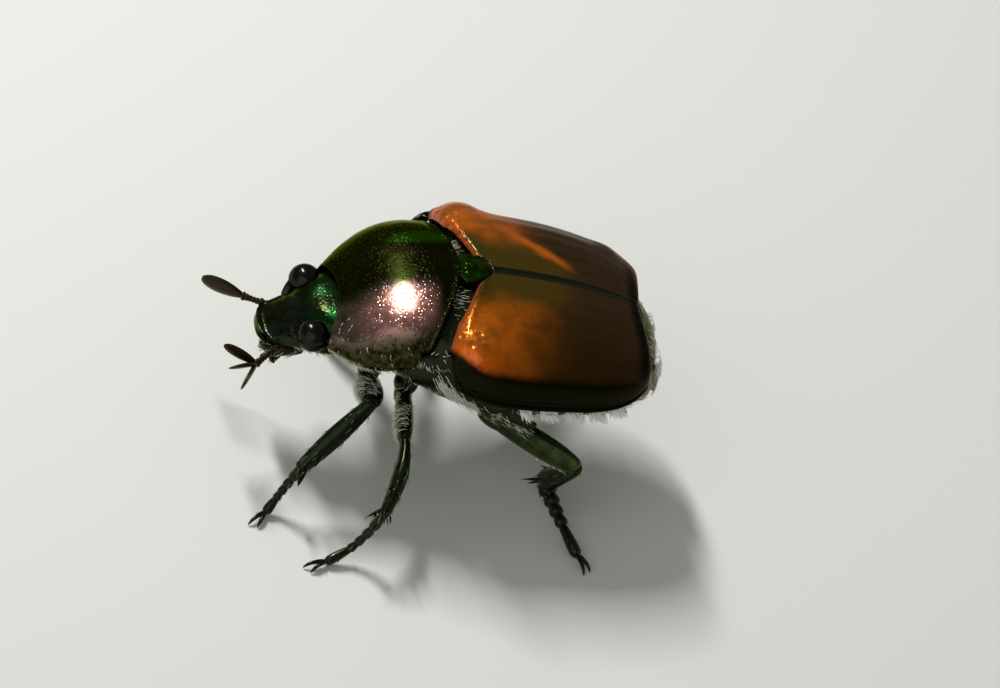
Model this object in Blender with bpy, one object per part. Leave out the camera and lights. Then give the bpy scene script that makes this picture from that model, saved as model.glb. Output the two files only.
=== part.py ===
"""Japanese beetle, a still life-size model that stands on its six feet.

The head points along -X, the beetle's left side faces -Y and the floor is at
height zero.  Sizes are in millimetres, and MM turns them into Blender's
metres.  A point is given as (along, out, height): along is the distance
behind the tip of the scutellum, out is the distance from the middle plane.
"""
import math
from collections import namedtuple

import bmesh
import bpy
from mathutils import Vector

MM = 0.001
GAP = 0.3
CENTRE_ALONG = -0.80
CENTRE_ACROSS = 0.21
LEFT = -1
RIGHT = 1
WELD = 0.002 * MM

# Prothorax: along, half width, top, widest height, underside
PRONOTUM_STATIONS = (
    (-3.85, 1.42, 4.62, 3.90, 3.08),
    (-3.35, 2.00, 5.16, 4.05, 3.00),
    (-2.70, 2.42, 5.62, 4.26, 2.95),
    (-1.90, 2.57, 5.92, 4.46, 2.98),
    (-0.85, 2.52, 6.02, 4.68, 3.10),
)
PRONOTUM_ROUND_TOP = 2.5
PRONOTUM_ROUND_UNDER = 1.5
FRONT_ANGLE_REACH = -0.30
HIND_ANGLE_REACH = -0.85
HIND_ANGLE_CURVE = 1.6
FRONT_WALL_SLANT = 0.20
HIND_WALL_SLANT = -0.90
MARGIN_BEAD = 0.06

# Head capsule: along, half width, top, widest height, underside
HEAD_STATIONS = (
    (-3.40, 1.12, 4.62, 3.95, 3.12),
    (-3.95, 1.14, 4.50, 3.80, 3.00),
    (-4.55, 0.92, 4.08, 3.52, 2.98),
    (-5.05, 0.80, 3.66, 3.28, 2.98),
    (-5.45, 0.78, 3.32, 3.14, 3.00),
    (-5.62, 0.74, 3.27, 3.12, 3.02),
)
HEAD_ROUND = 2.5
CLYPEUS_CORNER_SWEEP = 0.10
EYE_CENTRE = (-4.45, 1.10, 3.88)
EYE_RADII = (0.44, 0.46, 0.42)
MOUTH_STATIONS = (
    (-5.35, 0.30, 2.68, 2.60, 2.50),
    (-5.10, 0.46, 2.74, 2.56, 2.36),
    (-4.70, 0.52, 2.78, 2.52, 2.30),
    (-4.30, 0.40, 2.80, 2.56, 2.42),
)
PALP_ROOT = (-4.95, 0.38, 2.48)
PALP_TIP = (-5.38, 0.62, 2.12)
PALP_THICKNESS = 0.26

# Feelers: the stalk runs from the cheek to the root of the three leaves
FEELER_ROOT = (-4.98, 0.62, 3.18)
FEELER_STALK_THICKNESS = 0.42
LEAF_THICKNESS = 0.40
LEAF_WIDTH = 0.50
LEFT_CLUB_ROOT = (-5.77, 1.19, 2.80)
LEFT_LEAF_TIPS = (
    (-6.72, 1.20, 3.30),
    (-6.57, 1.84, 3.05),
    (-6.20, 2.16, 2.68),
)
RIGHT_CLUB_ROOT = (-5.99, 1.18, 3.12)
RIGHT_LEAF_TIPS = (
    (-6.95, 1.50, 3.18),
    (-6.97, 1.60, 3.06),
    (-6.93, 1.68, 2.95),
)

# Scutellum, the rounded shield between the wing cases
SCUTELLUM_LENGTH = 1.00
SCUTELLUM_HALF_WIDTH = 0.66
SCUTELLUM_TOP = 6.00
SCUTELLUM_THICKNESS = 0.60

# Wing cases: along, half width, height at the seam, height at the side rim
ELYTRON_STATIONS = (
    (-1.30, 2.70, 5.52, 4.58),
    (-1.00, 3.06, 5.82, 4.44),
    (-0.50, 3.26, 5.96, 4.30),
    (0.40, 3.33, 5.99, 4.14),
    (1.90, 3.22, 5.88, 4.15),
    (3.20, 2.92, 5.66, 4.14),
    (4.00, 2.50, 5.42, 4.22),
    (4.45, 1.98, 5.22, 4.42),
    (4.72, 1.36, 5.04, 4.62),
)
ELYTRON_ROUND = 3.0
ELYTRON_THICKNESS = 0.50
ELYTRON_TAIL_WALL = 0.30
ELYTRON_FRONT = -1.28
ELYTRON_SEAM_END = 4.25
ELYTRON_SIDE_END = 4.68
ELYTRON_ROWS = 16
ELYTRON_COLUMNS = 18
RIB_COUNT = 4
RIB_HEIGHT = 0.05
SHOULDER_ALONG = -0.45
SHOULDER_SHARE = 0.58
SHOULDER_HEIGHT = 0.18
SHOULDER_REACH = (0.60, 0.24)

# Trunk: along, then half width, top and shoulder under the wing cases, then
# half width, widest height and underside where it is bare
TRUNK_STATIONS = (
    (-1.30, 1.70, 4.75, 4.35, 2.00, 3.85, 2.80),
    (-0.60, 2.18, 5.08, 4.15, 2.45, 3.72, 2.68),
    (0.40, 2.36, 5.12, 4.02, 2.74, 3.62, 2.50),
    (1.10, 2.38, 5.06, 4.02, 2.72, 3.63, 2.58),
    (1.90, 2.36, 5.00, 4.04, 2.66, 3.66, 2.70),
    (3.20, 2.14, 4.78, 4.06, 2.46, 3.70, 2.88),
    (4.00, 1.72, 4.50, 4.04, 2.08, 3.74, 3.00),
    (4.45, 1.25, 4.24, 3.96, 1.74, 3.76, 3.06),
    (4.80, 0.78, 3.98, 3.86, 1.36, 3.70, 3.14),
)
TRUNK_ROUND_UNDER = 1.9
THORAX_FRONT = -1.25
THORAX_END = 0.80
ABDOMEN_END = 4.78
STERNUM_STATIONS = (
    (-1.95, 0.90, 3.30, 3.00, 2.76),
    (-1.60, 1.35, 3.70, 3.10, 2.66),
    (-0.90, 1.90, 4.00, 3.20, 2.62),
    (0.00, 2.00, 4.00, 3.20, 2.60),
)

# Last plate of the back: height, along at the middle, half width
PYGIDIUM_STATIONS = (
    (5.00, 4.42, 1.30),
    (4.70, 4.74, 1.66),
    (4.30, 4.96, 1.74),
    (3.85, 5.14, 1.50),
    (3.45, 5.28, 1.10),
    (3.18, 5.26, 0.66),
)
PYGIDIUM_INWARD = (-0.46, 0.0, -0.22)
PYGIDIUM_SIDE_SWEEP = 0.62

# White tufts along the belly's edge and on the last plate
SIDE_TUFTS_ALONG = (1.26, 1.90, 2.60, 3.24, 3.80)
SIDE_TUFT_DROP = 0.14
SIDE_TUFT_SINK = 0.16
PYGIDIUM_TUFT_OUT = 0.72
PYGIDIUM_TUFT_HEIGHT = 4.20
TUFT_LENGTH = 0.38
TUFT_WIDTH = 0.50
TUFT_DEPTH = 0.34
TUFT_SINK = 0.25

# Legs: joints as (along, out, height), and how wide and thick each length is
Leg = namedtuple("Leg", "side root knee ankle bend foot femur tibia facing arch")
ALONG_BODY = Vector((1.0, 0.0, 0.0))
ACROSS_BODY = Vector((0.0, 1.0, 0.0))
UPRIGHT = Vector((0.0, 0.0, 1.0))
STRAIGHT = Vector((0.0, 0.0, 0.0))
ARCHED = Vector((0.60, 0.0, 0.46))
FRONT_FEMUR = (0.72, 0.52)
MIDDLE_FEMUR = (0.62, 0.50)
HIND_FEMUR = (0.80, 0.55)
SLIM_TIBIA = (0.54, 0.50)
STOUT_TIBIA = (0.62, 0.52)
LEGS = {
    "front_left": Leg(
        LEFT, (-2.60, 0.85, 2.52), (-2.83, 2.70, 3.20), (-4.44, 3.66, 1.47),
        (-4.85, 3.72, 0.36), (-5.09, 4.05, 0.14), FRONT_FEMUR, SLIM_TIBIA,
        ALONG_BODY, STRAIGHT,
    ),
    "front_right": Leg(
        RIGHT, (-2.60, 0.85, 2.52), (-2.50, 2.68, 3.15), (-3.00, 3.42, 1.07),
        (-3.05, 4.00, 0.28), (-3.10, 4.72, 0.14), FRONT_FEMUR, SLIM_TIBIA,
        ALONG_BODY, STRAIGHT,
    ),
    "middle_left": Leg(
        LEFT, (-1.60, 1.15, 2.40), (-1.87, 3.37, 2.63), (-2.43, 5.36, 1.63),
        (-2.80, 5.25, 0.22), (-3.60, 5.71, 0.14), MIDDLE_FEMUR, STOUT_TIBIA,
        UPRIGHT, ARCHED,
    ),
    "middle_right": Leg(
        RIGHT, (-1.60, 1.15, 2.40), (-1.20, 3.30, 3.00), (-1.08, 4.55, 1.35),
        (-0.90, 4.95, 0.30), (-0.66, 6.00, 0.14), MIDDLE_FEMUR, STOUT_TIBIA,
        UPRIGHT, ARCHED,
    ),
    "hind_left": Leg(
        LEFT, (0.85, 1.45, 2.20), (2.86, 3.50, 2.55), (2.58, 2.20, 0.80),
        (2.95, 3.15, 0.40), (3.42, 4.25, 0.14), HIND_FEMUR, STOUT_TIBIA,
        UPRIGHT, STRAIGHT,
    ),
    "hind_right": Leg(
        RIGHT, (0.85, 1.45, 2.20), (2.70, 3.55, 2.72), (3.36, 4.36, 0.70),
        (3.85, 4.85, 0.26), (4.65, 5.78, 0.14), HIND_FEMUR, STOUT_TIBIA,
        UPRIGHT, STRAIGHT,
    ),
}
HIP_HEIGHT = 0.55
HIP_THICKNESS = 0.60
TARSUS_BEADS = 5
TARSUS_WIDE = 0.50
TARSUS_NARROW = 0.38
CLAW_LENGTH = 0.42
CLAW_THICKNESS = 0.20
CLAW_SPREAD = math.radians(24.0)
SPINE_THICKNESS = 0.22
SPINE_LENGTH = 0.42
SPINE_SINK = 0.16
SPUR_LENGTH = 0.50
TOOTH_THICKNESS = 0.34

FLOOR_BLOCK = 40.0


def at(along, across, height):
    """Turn a place on the beetle, in millimetres, into a point of the scene."""
    return Vector((along - CENTRE_ALONG, across - CENTRE_ACROSS, height)) * MM


def on_side(side, place):
    """Give a place its side of the body."""
    along, out, height = place
    return at(along, side * out, height)


def clear_scene():
    for item in list(bpy.data.objects):
        bpy.data.objects.remove(item, do_unlink=True)


def chitin(name, colour, roughness, metallic):
    """Make one body colour."""
    material = bpy.data.materials.new(name)
    material.use_nodes = True
    shader = material.node_tree.nodes["Principled BSDF"]
    shader.inputs["Base Color"].default_value = (*colour, 1.0)
    shader.inputs["Roughness"].default_value = roughness
    shader.inputs["Metallic"].default_value = metallic
    material.diffuse_color = (*colour, 1.0)
    return material


def curve_at(stations, place):
    """Read a smooth curve through stations, whose first value is the place."""
    last = len(stations) - 2
    index = 0
    while index < last and place > stations[index + 1][0]:
        index += 1
    before = stations[max(index - 1, 0)]
    start = stations[index]
    end = stations[index + 1]
    after = stations[min(index + 2, len(stations) - 1)]
    span = end[0] - start[0]
    share = (place - start[0]) / span
    values = []
    for column in range(1, len(start)):
        slope_in = (end[column] - before[column]) / (end[0] - before[0]) * span
        slope_out = (after[column] - start[column]) / (after[0] - start[0]) * span
        square = share * share
        cube = square * share
        values.append(
            (2 * cube - 3 * square + 1) * start[column]
            + (cube - 2 * square + share) * slope_in
            + (3 * square - 2 * cube) * end[column]
            + (cube - square) * slope_out
        )
    return values


def spread(first, last, count):
    """Give evenly spaced values, both ends included."""
    return [first + (last - first) * step / (count - 1) for step in range(count)]


def rounded(angle, roundness):
    """Give the two sides of a superellipse at an angle."""
    wide = math.cos(angle)
    high = math.sin(angle)
    power = 2.0 / roundness
    return (
        math.copysign(abs(wide) ** power, wide),
        math.copysign(abs(high) ** power, high),
    )


def loft(rings, start, end):
    """Skin a row of rings and close both ends on a point."""
    form = bmesh.new()
    rows = [[form.verts.new(point) for point in ring] for ring in rings]
    first = form.verts.new(start)
    last = form.verts.new(end)
    count = len(rows[0])
    for step in range(count):
        after = (step + 1) % count
        form.faces.new((first, rows[0][step], rows[0][after]))
        form.faces.new((last, rows[-1][after], rows[-1][step]))
        for near, far in zip(rows, rows[1:]):
            form.faces.new((near[step], far[step], near[after]))
            form.faces.new((near[after], far[step], far[after]))
    bmesh.ops.recalc_face_normals(form, faces=form.faces)
    return form


def shell(outer_face, inner_face, rows, columns):
    """Make a curved plate whose two faces are split into triangles alike.

    Each face gives a place in millimetres for two shares, down the plate and
    across it.
    """
    form = bmesh.new()
    outer = []
    inner = []
    for u in spread(0.0, 1.0, rows):
        shares = spread(0.0, 1.0, columns)
        outer.append([form.verts.new(at(*outer_face(u, v))) for v in shares])
        inner.append([form.verts.new(at(*inner_face(u, v))) for v in shares])
    for row in range(rows - 1):
        for column in range(columns - 1):
            for grid in (outer, inner):
                a = grid[row][column]
                b = grid[row + 1][column]
                c = grid[row + 1][column + 1]
                d = grid[row][column + 1]
                form.faces.new((a, b, c))
                form.faces.new((a, c, d))
    border = [(row, 0) for row in range(rows)]
    border += [(rows - 1, column) for column in range(1, columns)]
    border += [(row, columns - 1) for row in range(rows - 2, -1, -1)]
    border += [(0, column) for column in range(columns - 2, 0, -1)]
    for near, far in zip(border, border[1:] + border[:1]):
        a = outer[near[0]][near[1]]
        b = outer[far[0]][far[1]]
        c = inner[far[0]][far[1]]
        d = inner[near[0]][near[1]]
        form.faces.new((a, b, c))
        form.faces.new((a, c, d))
    bmesh.ops.recalc_face_normals(form, faces=form.faces)
    return form


def tube(points, widths, depths, facing, sides):
    """Skin a limb along points, oval in section, with rounded ends."""
    count = len(points)
    rings = []
    for index, centre in enumerate(points):
        before = points[max(index - 1, 0)]
        after = points[min(index + 1, count - 1)]
        axis = (after - before).normalized()
        wide = (facing - axis * facing.dot(axis)).normalized()
        deep = axis.cross(wide)
        ring = []
        for step in range(sides):
            angle = math.tau * (step + 0.5) / sides
            ring.append(
                centre
                + wide * (math.cos(angle) * widths[index] / 2 * MM)
                + deep * (math.sin(angle) * depths[index] / 2 * MM)
            )
        rings.append(ring)
    start = points[0] - (points[1] - points[0]).normalized() * depths[0] * 0.3 * MM
    end = points[-1] + (points[-1] - points[-2]).normalized() * depths[-1] * 0.3 * MM
    return loft(rings, start, end)


def thorn(root, tip, thickness, sink, sides=5):
    """Make a tapered spine whose root is sunk below the place it grows from."""
    way = (tip - root).normalized()
    facing = UPRIGHT if abs(way.z) < 0.9 else ALONG_BODY
    start = root - way * sink * MM
    points = [start, root.lerp(tip, 0.45), root.lerp(tip, 0.9)]
    sizes = [thickness, thickness * 0.72, thickness * 0.3]
    return tube(points, sizes, sizes, facing, sides)


def place(name, form, material=None):
    """Put a form in the scene as an object."""
    bmesh.ops.triangulate(form, faces=form.faces)
    mesh = bpy.data.meshes.new(name)
    form.to_mesh(mesh)
    form.free()
    item = bpy.data.objects.new(name, mesh)
    bpy.context.scene.collection.objects.link(item)
    if material is not None:
        mesh.materials.append(material)
    return item


def settle(item):
    """Apply an object's modifiers."""
    depsgraph = bpy.context.evaluated_depsgraph_get()
    mesh = bpy.data.meshes.new_from_object(item.evaluated_get(depsgraph))
    item.modifiers.clear()
    old = item.data
    item.data = mesh
    bpy.data.meshes.remove(old)
    mesh.name = item.name


def surfaces(form):
    """Split a mesh's vertices into its separate surfaces."""
    left = set(form.verts)
    groups = []
    while left:
        queue = [left.pop()]
        group = set(queue)
        while queue:
            for edge in queue.pop().link_edges:
                for vert in edge.verts:
                    if vert in left:
                        left.remove(vert)
                        group.add(vert)
                        queue.append(vert)
        groups.append(group)
    return groups


def tidy(item):
    """Weld slivers and keep only the largest closed surface."""
    form = bmesh.new()
    form.from_mesh(item.data)
    bmesh.ops.triangulate(form, faces=form.faces)
    welded = form.copy()
    short = [edge for edge in welded.edges if edge.calc_length() < WELD]
    bmesh.ops.collapse(welded, edges=short)
    if all(edge.is_manifold for edge in welded.edges):
        form, welded = welded, form
    welded.free()
    groups = sorted(surfaces(form), key=len)
    loose = [vert for group in groups[:-1] for vert in group]
    bmesh.ops.delete(form, geom=loose, context="VERTS")
    form.to_mesh(item.data)
    form.free()


def fuse(base, forms, solver="EXACT"):
    """Join closed forms to an object by one union."""
    group = bpy.data.collections.new(base.name + "_pieces")
    bpy.context.scene.collection.children.link(group)
    for number, form in enumerate(forms):
        piece = place(f"{base.name}_piece_{number}", form)
        bpy.context.scene.collection.objects.unlink(piece)
        group.objects.link(piece)
    union = base.modifiers.new("fuse", "BOOLEAN")
    union.operation = "UNION"
    union.operand_type = "COLLECTION"
    union.collection = group
    union.solver = solver
    settle(base)
    for piece in list(group.objects):
        bpy.data.objects.remove(piece, do_unlink=True)
    bpy.data.collections.remove(group)
    tidy(base)


def grow(form, distance):
    """Move a form's surface outwards."""
    form.normal_update()
    moves = [vert.normal * min(vert.calc_shell_factor(), 1.5) for vert in form.verts]
    for vert, move in zip(form.verts, moves):
        vert.co += move * distance * MM
    return form


def cut_away(item, cutter, solver="EXACT"):
    """Take a cutter's volume out of an object, and remove the cutter."""
    cut = item.modifiers.new("room", "BOOLEAN")
    cut.operation = "DIFFERENCE"
    cut.object = cutter
    cut.solver = solver
    settle(item)
    bpy.data.objects.remove(cutter, do_unlink=True)
    tidy(item)


def clear_of(item, neighbours, distance=GAP, solver="EXACT"):
    """Cut an object back so that it keeps a gap to each neighbour's form."""
    for form in neighbours:
        cut_away(item, place(item.name + "_room", grow(form, distance)), solver)


def level_sole(item, solver):
    """Cut off what would reach below the floor, which leaves a flat."""
    form = bmesh.new()
    bmesh.ops.create_cube(form, size=FLOOR_BLOCK * MM)
    for vert in form.verts:
        vert.co.z -= FLOOR_BLOCK / 2 * MM
    cut_away(item, place(item.name + "_floor", form), solver)


def shade(item, sharp_angle=50.0):
    """Shade a round piece smooth, with its true edges kept."""
    item.data.shade_smooth()
    item.data.set_sharp_from_angle(angle=math.radians(sharp_angle))


def closed_ring(along, half_width, top, edge, under, round_top, round_under, sides):
    """Give one cross-section of the body, each point as millimetres."""
    ring = []
    for step in range(sides):
        angle = math.tau * step / sides
        roundness = round_top if math.sin(angle) >= 0 else round_under
        across, high = rounded(angle, roundness)
        reach = top - edge if high >= 0 else edge - under
        ring.append([along, half_width * across, edge + reach * high])
    return ring


def pronotum_form():
    """Skin the prothorax: the domed shield in front with its underside."""
    rings = []
    sides = 36
    first = PRONOTUM_STATIONS[0][0]
    last = PRONOTUM_STATIONS[-1][0]
    for along in spread(first, last, 13):
        half_width, top, edge, under = curve_at(PRONOTUM_STATIONS, along)
        share = (along - first) / (last - first)
        slant = FRONT_WALL_SLANT * (1 - share) + HIND_WALL_SLANT * share
        ring = closed_ring(
            along, half_width, top, edge, under,
            PRONOTUM_ROUND_TOP, PRONOTUM_ROUND_UNDER, sides,
        )
        for point in ring:
            side_share = abs(point[1]) / half_width
            depth_share = max(edge - point[2], 0.0) / (edge - under)
            point[0] += FRONT_ANGLE_REACH * (1 - share) * side_share ** 2
            point[0] += HIND_ANGLE_REACH * share ** 2 * side_share ** HIND_ANGLE_CURVE
            point[0] += slant * depth_share
            if side_share > 0.999:
                point[1] += math.copysign(MARGIN_BEAD, point[1])
        rings.append([at(*point) for point in ring])
    start = at(first + 0.12, 0.0, 3.9)
    end = at(last - 0.25, 0.0, 4.4)
    return loft(rings, start, end)


def head_form():
    """Skin the head capsule with the flat plate over the mouth."""
    rings = []
    first = HEAD_STATIONS[0][0]
    last = HEAD_STATIONS[-1][0]
    stations = tuple(reversed(HEAD_STATIONS))
    for along in spread(first, last, 12):
        half_width, top, edge, under = curve_at(stations, along)
        share = (along - first) / (last - first)
        ring = closed_ring(
            along, half_width, top, edge, under, HEAD_ROUND, HEAD_ROUND, 26,
        )
        for point in ring:
            point[0] += CLYPEUS_CORNER_SWEEP * share * (point[1] / half_width) ** 4
        rings.append([at(*point) for point in ring])
    start = at(first, 0.0, 3.9)
    end = at(last - 0.02, 0.0, 3.14)
    return loft(rings, start, end)


def eye_form(side):
    """Make one bulging eye."""
    form = bmesh.new()
    bmesh.ops.create_uvsphere(form, u_segments=14, v_segments=9, radius=1.0)
    centre = on_side(side, EYE_CENTRE)
    for vert in form.verts:
        vert.co = centre + Vector(
            size * reach * MM for size, reach in zip(vert.co, EYE_RADII)
        )
    return form


def make_eye(name, side, material):
    """One eye, seated on the cheek."""
    eye = place(name, eye_form(side), material)
    clear_of(eye, [head_form(), pronotum_form()], GAP * 0.8)
    return eye


def mouth_form():
    """Skin the jaws and the lip under the clypeus."""
    rings = []
    for along in spread(MOUTH_STATIONS[0][0], MOUTH_STATIONS[-1][0], 7):
        half_width, top, edge, under = curve_at(MOUTH_STATIONS, along)
        ring = closed_ring(along, half_width, top, edge, under, 2.4, 2.4, 16)
        rings.append([at(*point) for point in ring])
    start = at(MOUTH_STATIONS[0][0] - 0.06, 0.0, 2.59)
    end = at(MOUTH_STATIONS[-1][0] + 0.05, 0.0, 2.60)
    return loft(rings, start, end)


def make_mouthparts(material):
    """Jaws and lip, with a short palp at each side."""
    mouth = place("mouthparts", mouth_form(), material)
    palps = []
    for side in (LEFT, RIGHT):
        root = on_side(side, PALP_ROOT)
        tip = on_side(side, PALP_TIP)
        palps.append(thorn(root, tip, PALP_THICKNESS, 0.2, 6))
    fuse(mouth, palps)
    clear_of(mouth, [head_form()])
    return mouth


def leaf(root, tip):
    """One flat leaf of a feeler's club, widest past its middle."""
    points = [root.lerp(tip, share) for share in (0.0, 0.25, 0.5, 0.75, 0.93)]
    widths = [LEAF_WIDTH * share for share in (0.72, 0.95, 1.0, 0.86, 0.5)]
    depths = [LEAF_THICKNESS * share for share in (1.0, 0.9, 0.75, 0.6, 0.4)]
    return tube(points, widths, depths, UPRIGHT, 8)


def make_feeler(name, side, club_root, leaf_tips, material):
    """One feeler: a jointed stalk and the leaves of its club."""
    root = on_side(side, FEELER_ROOT)
    club = on_side(side, club_root)
    points = [root.lerp(club, share) for share in spread(0.0, 1.0, 6)]
    sizes = [FEELER_STALK_THICKNESS * share for share in (1.0, 1.1, 0.9, 1.05, 0.9, 1.0)]
    feeler = place(name, tube(points, sizes, sizes, UPRIGHT, 8), material)
    fuse(feeler, [leaf(club, on_side(side, tip)) for tip in leaf_tips])
    clear_of(feeler, [head_form(), mouth_form(), eye_form(side)])
    return feeler


def scutellum_form():
    """Make the small rounded shield behind the prothorax."""
    top = []
    bottom = []
    for step in range(18):
        angle = math.tau * step / 18
        forward = math.cos(angle)
        out = math.sin(angle) * SCUTELLUM_HALF_WIDTH * (0.80 + 0.28 * forward)
        along = -SCUTELLUM_LENGTH / 2 - forward * SCUTELLUM_LENGTH / 2
        fall = 0.05 * (out / SCUTELLUM_HALF_WIDTH) ** 2
        top.append(at(along, out, SCUTELLUM_TOP - fall))
        bottom.append(at(along, out * 0.92, SCUTELLUM_TOP - SCUTELLUM_THICKNESS))
    middle = -SCUTELLUM_LENGTH * 0.45
    start = at(middle, 0.0, SCUTELLUM_TOP + 0.03)
    end = at(middle, 0.0, SCUTELLUM_TOP - SCUTELLUM_THICKNESS)
    return loft([top, bottom], start, end)


def elytron_place(side, u, v, depth):
    """Give a place on a wing case, front to back and seam to rim.

    depth is how far it lies below the outer face.
    """
    end = ELYTRON_SEAM_END
    end += (ELYTRON_SIDE_END - ELYTRON_SEAM_END) * math.sin(v * math.pi / 2)
    along = ELYTRON_FRONT + (end - ELYTRON_FRONT) * u
    half_width, seam, rim = curve_at(ELYTRON_STATIONS, along)
    wide, high = rounded((1 - v) * math.pi / 2, ELYTRON_ROUND)
    rib = 0.5 - 0.5 * math.cos(math.tau * RIB_COUNT * v)
    lift = 0.0
    if depth == 0:
        away = ((along - SHOULDER_ALONG) / SHOULDER_REACH[0]) ** 2
        away += ((v - SHOULDER_SHARE) / SHOULDER_REACH[1]) ** 2
        lift = RIB_HEIGHT * rib * math.sin(math.pi * u)
        lift += SHOULDER_HEIGHT * math.exp(-away)
    out = GAP / 2 + (half_width + lift - depth - GAP / 2) * wide
    height = rim + (seam + lift - depth - rim) * high
    return along - ELYTRON_TAIL_WALL * depth / ELYTRON_THICKNESS * u ** 4, side * out, height


def elytron_form(side):
    """Skin a wing case, a stiff domed shell with faint lengthwise ribs."""
    return shell(
        lambda u, v: elytron_place(side, u, v, 0.0),
        lambda u, v: elytron_place(side, u, v, ELYTRON_THICKNESS),
        ELYTRON_ROWS,
        ELYTRON_COLUMNS,
    )


def tail_block():
    """Make the rear of both wing cases as one solid block, to fit round."""
    rings = []
    for along in spread(ELYTRON_SEAM_END - 1.5, ELYTRON_SIDE_END, 10):
        half_width, seam, rim = curve_at(ELYTRON_STATIONS, along)
        ring = closed_ring(along, half_width, seam, rim, rim - 0.04, ELYTRON_ROUND, 2, 24)
        rings.append([at(*point) for point in ring])
    start = at(ELYTRON_SEAM_END - 1.5, 0.0, 4.8)
    end = at(ELYTRON_SIDE_END, 0.0, 4.8)
    return loft(rings, start, end)


def make_elytron(name, side, material):
    """One wing case, cut to fit round the prothorax and the scutellum."""
    case = place(name, elytron_form(side), material)
    clear_of(case, [pronotum_form(), scutellum_form()])
    return case


def trunk_ring(along):
    """Give a section of the trunk: inside the wing cases above, bare below."""
    values = curve_at(TRUNK_STATIONS, along)
    half_width, top, shoulder, low_width, edge, under = values
    right = []
    for angle in spread(math.pi / 2, 0.0, 8):
        wide, high = rounded(angle, ELYTRON_ROUND)
        right.append((half_width * wide, shoulder + (top - shoulder) * high))
    for angle in spread(-0.12, -math.pi / 2, 9):
        wide, high = rounded(angle, TRUNK_ROUND_UNDER)
        right.append((low_width * wide, edge + (edge - under) * high))
    left = [(-out, height) for out, height in reversed(right[1:-1])]
    return [at(along, out, height) for out, height in right + left]


def trunk_length(first, last, rows):
    """Skin a length of the trunk."""
    rings = [trunk_ring(along) for along in spread(first, last, rows)]
    return loft(rings, at(first, 0.0, 3.6), at(last, 0.0, 3.6))


def sternum_form():
    """Skin the breast that reaches forward under the prothorax."""
    rings = []
    for along in spread(STERNUM_STATIONS[0][0], STERNUM_STATIONS[-1][0], 6):
        half_width, top, edge, under = curve_at(STERNUM_STATIONS, along)
        ring = closed_ring(along, half_width, top, edge, under, 2.2, 2.0, 20)
        rings.append([at(*point) for point in ring])
    start = at(STERNUM_STATIONS[0][0] - 0.05, 0.0, 3.0)
    end = at(STERNUM_STATIONS[-1][0], 0.0, 3.2)
    return loft(rings, start, end)


def make_thorax(material):
    """The middle and hind thorax, whose breast carries four of the legs."""
    thorax = place("thorax", trunk_length(THORAX_FRONT, THORAX_END, 8), material)
    fuse(thorax, [sternum_form()])
    clear_of(thorax, [pronotum_form(), scutellum_form()])
    return thorax


def tuft(root, way, across):
    """Give one white tuft, a flat clump as wide as the edge it grows on."""
    tip = root + way * TUFT_LENGTH * MM
    points = [root - way * TUFT_SINK * MM, root.lerp(tip, 0.3), root.lerp(tip, 0.8)]
    widths = [TUFT_WIDTH * share for share in (0.80, 1.0, 0.70)]
    depths = [TUFT_DEPTH * share for share in (1.0, 0.92, 0.60)]
    return tube(points, widths, depths, across, 8)


def abdomen_form():
    """Skin the belly without its tufts."""
    return trunk_length(THORAX_END + GAP, ABDOMEN_END, 13)


def make_abdomen(material):
    """The belly, with a row of white tufts below each wing case."""
    abdomen = place("abdomen", abdomen_form(), material)
    clear_of(abdomen, [pygidium_form()])
    forms = []
    for side in (LEFT, RIGHT):
        for along in SIDE_TUFTS_ALONG:
            low_width, edge = curve_at(TRUNK_STATIONS, along)[3:5]
            root = at(along, side * (low_width - SIDE_TUFT_SINK), edge - SIDE_TUFT_DROP)
            way = Vector((0.42, side * 0.55, -0.72)).normalized()
            forms.append(tuft(root, way, ALONG_BODY))
    fuse(abdomen, forms)
    return abdomen


def pygidium_surface(u, v):
    """Give the outer face of the last plate, top to tip and side to side."""
    first = PYGIDIUM_STATIONS[0][0]
    last = PYGIDIUM_STATIONS[-1][0]
    height = first + (last - first) * u
    along, half_width = curve_at(tuple(reversed(PYGIDIUM_STATIONS)), height)
    across = half_width * (2 * v - 1)
    sweep = PYGIDIUM_SIDE_SWEEP * (across / 1.74) ** 2
    return along - sweep, across, height


def pygidium_form():
    """Make the last plate of the back, as thick as a wing case."""
    def inner_face(u, v):
        return tuple(a + b for a, b in zip(pygidium_surface(u, v), PYGIDIUM_INWARD))
    return shell(pygidium_surface, inner_face, 12, 13)


def make_pygidium(material):
    """The last plate of the back, with its two white tufts."""
    plate = place("pygidium", pygidium_form(), material)
    clear_of(plate, [tail_block()])
    forms = []
    share = PYGIDIUM_STATIONS[0][0] - PYGIDIUM_TUFT_HEIGHT
    share /= PYGIDIUM_STATIONS[0][0] - PYGIDIUM_STATIONS[-1][0]
    for side in (LEFT, RIGHT):
        half_width = curve_at(tuple(reversed(PYGIDIUM_STATIONS)), PYGIDIUM_TUFT_HEIGHT)[1]
        across_share = 0.5 + side * PYGIDIUM_TUFT_OUT / half_width / 2
        along, across, height = pygidium_surface(share, across_share)
        root = at(along - 0.12, across, height)
        way = Vector((0.55, side * 0.20, -0.80)).normalized()
        forms.append(tuft(root, way, ACROSS_BODY))
    fuse(plate, forms)
    return plate


def leg_points(leg):
    """Give a leg's joints as points of the scene."""
    joints = (leg.root, leg.knee, leg.ankle, leg.bend, leg.foot)
    return [on_side(leg.side, joint) for joint in joints]


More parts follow.
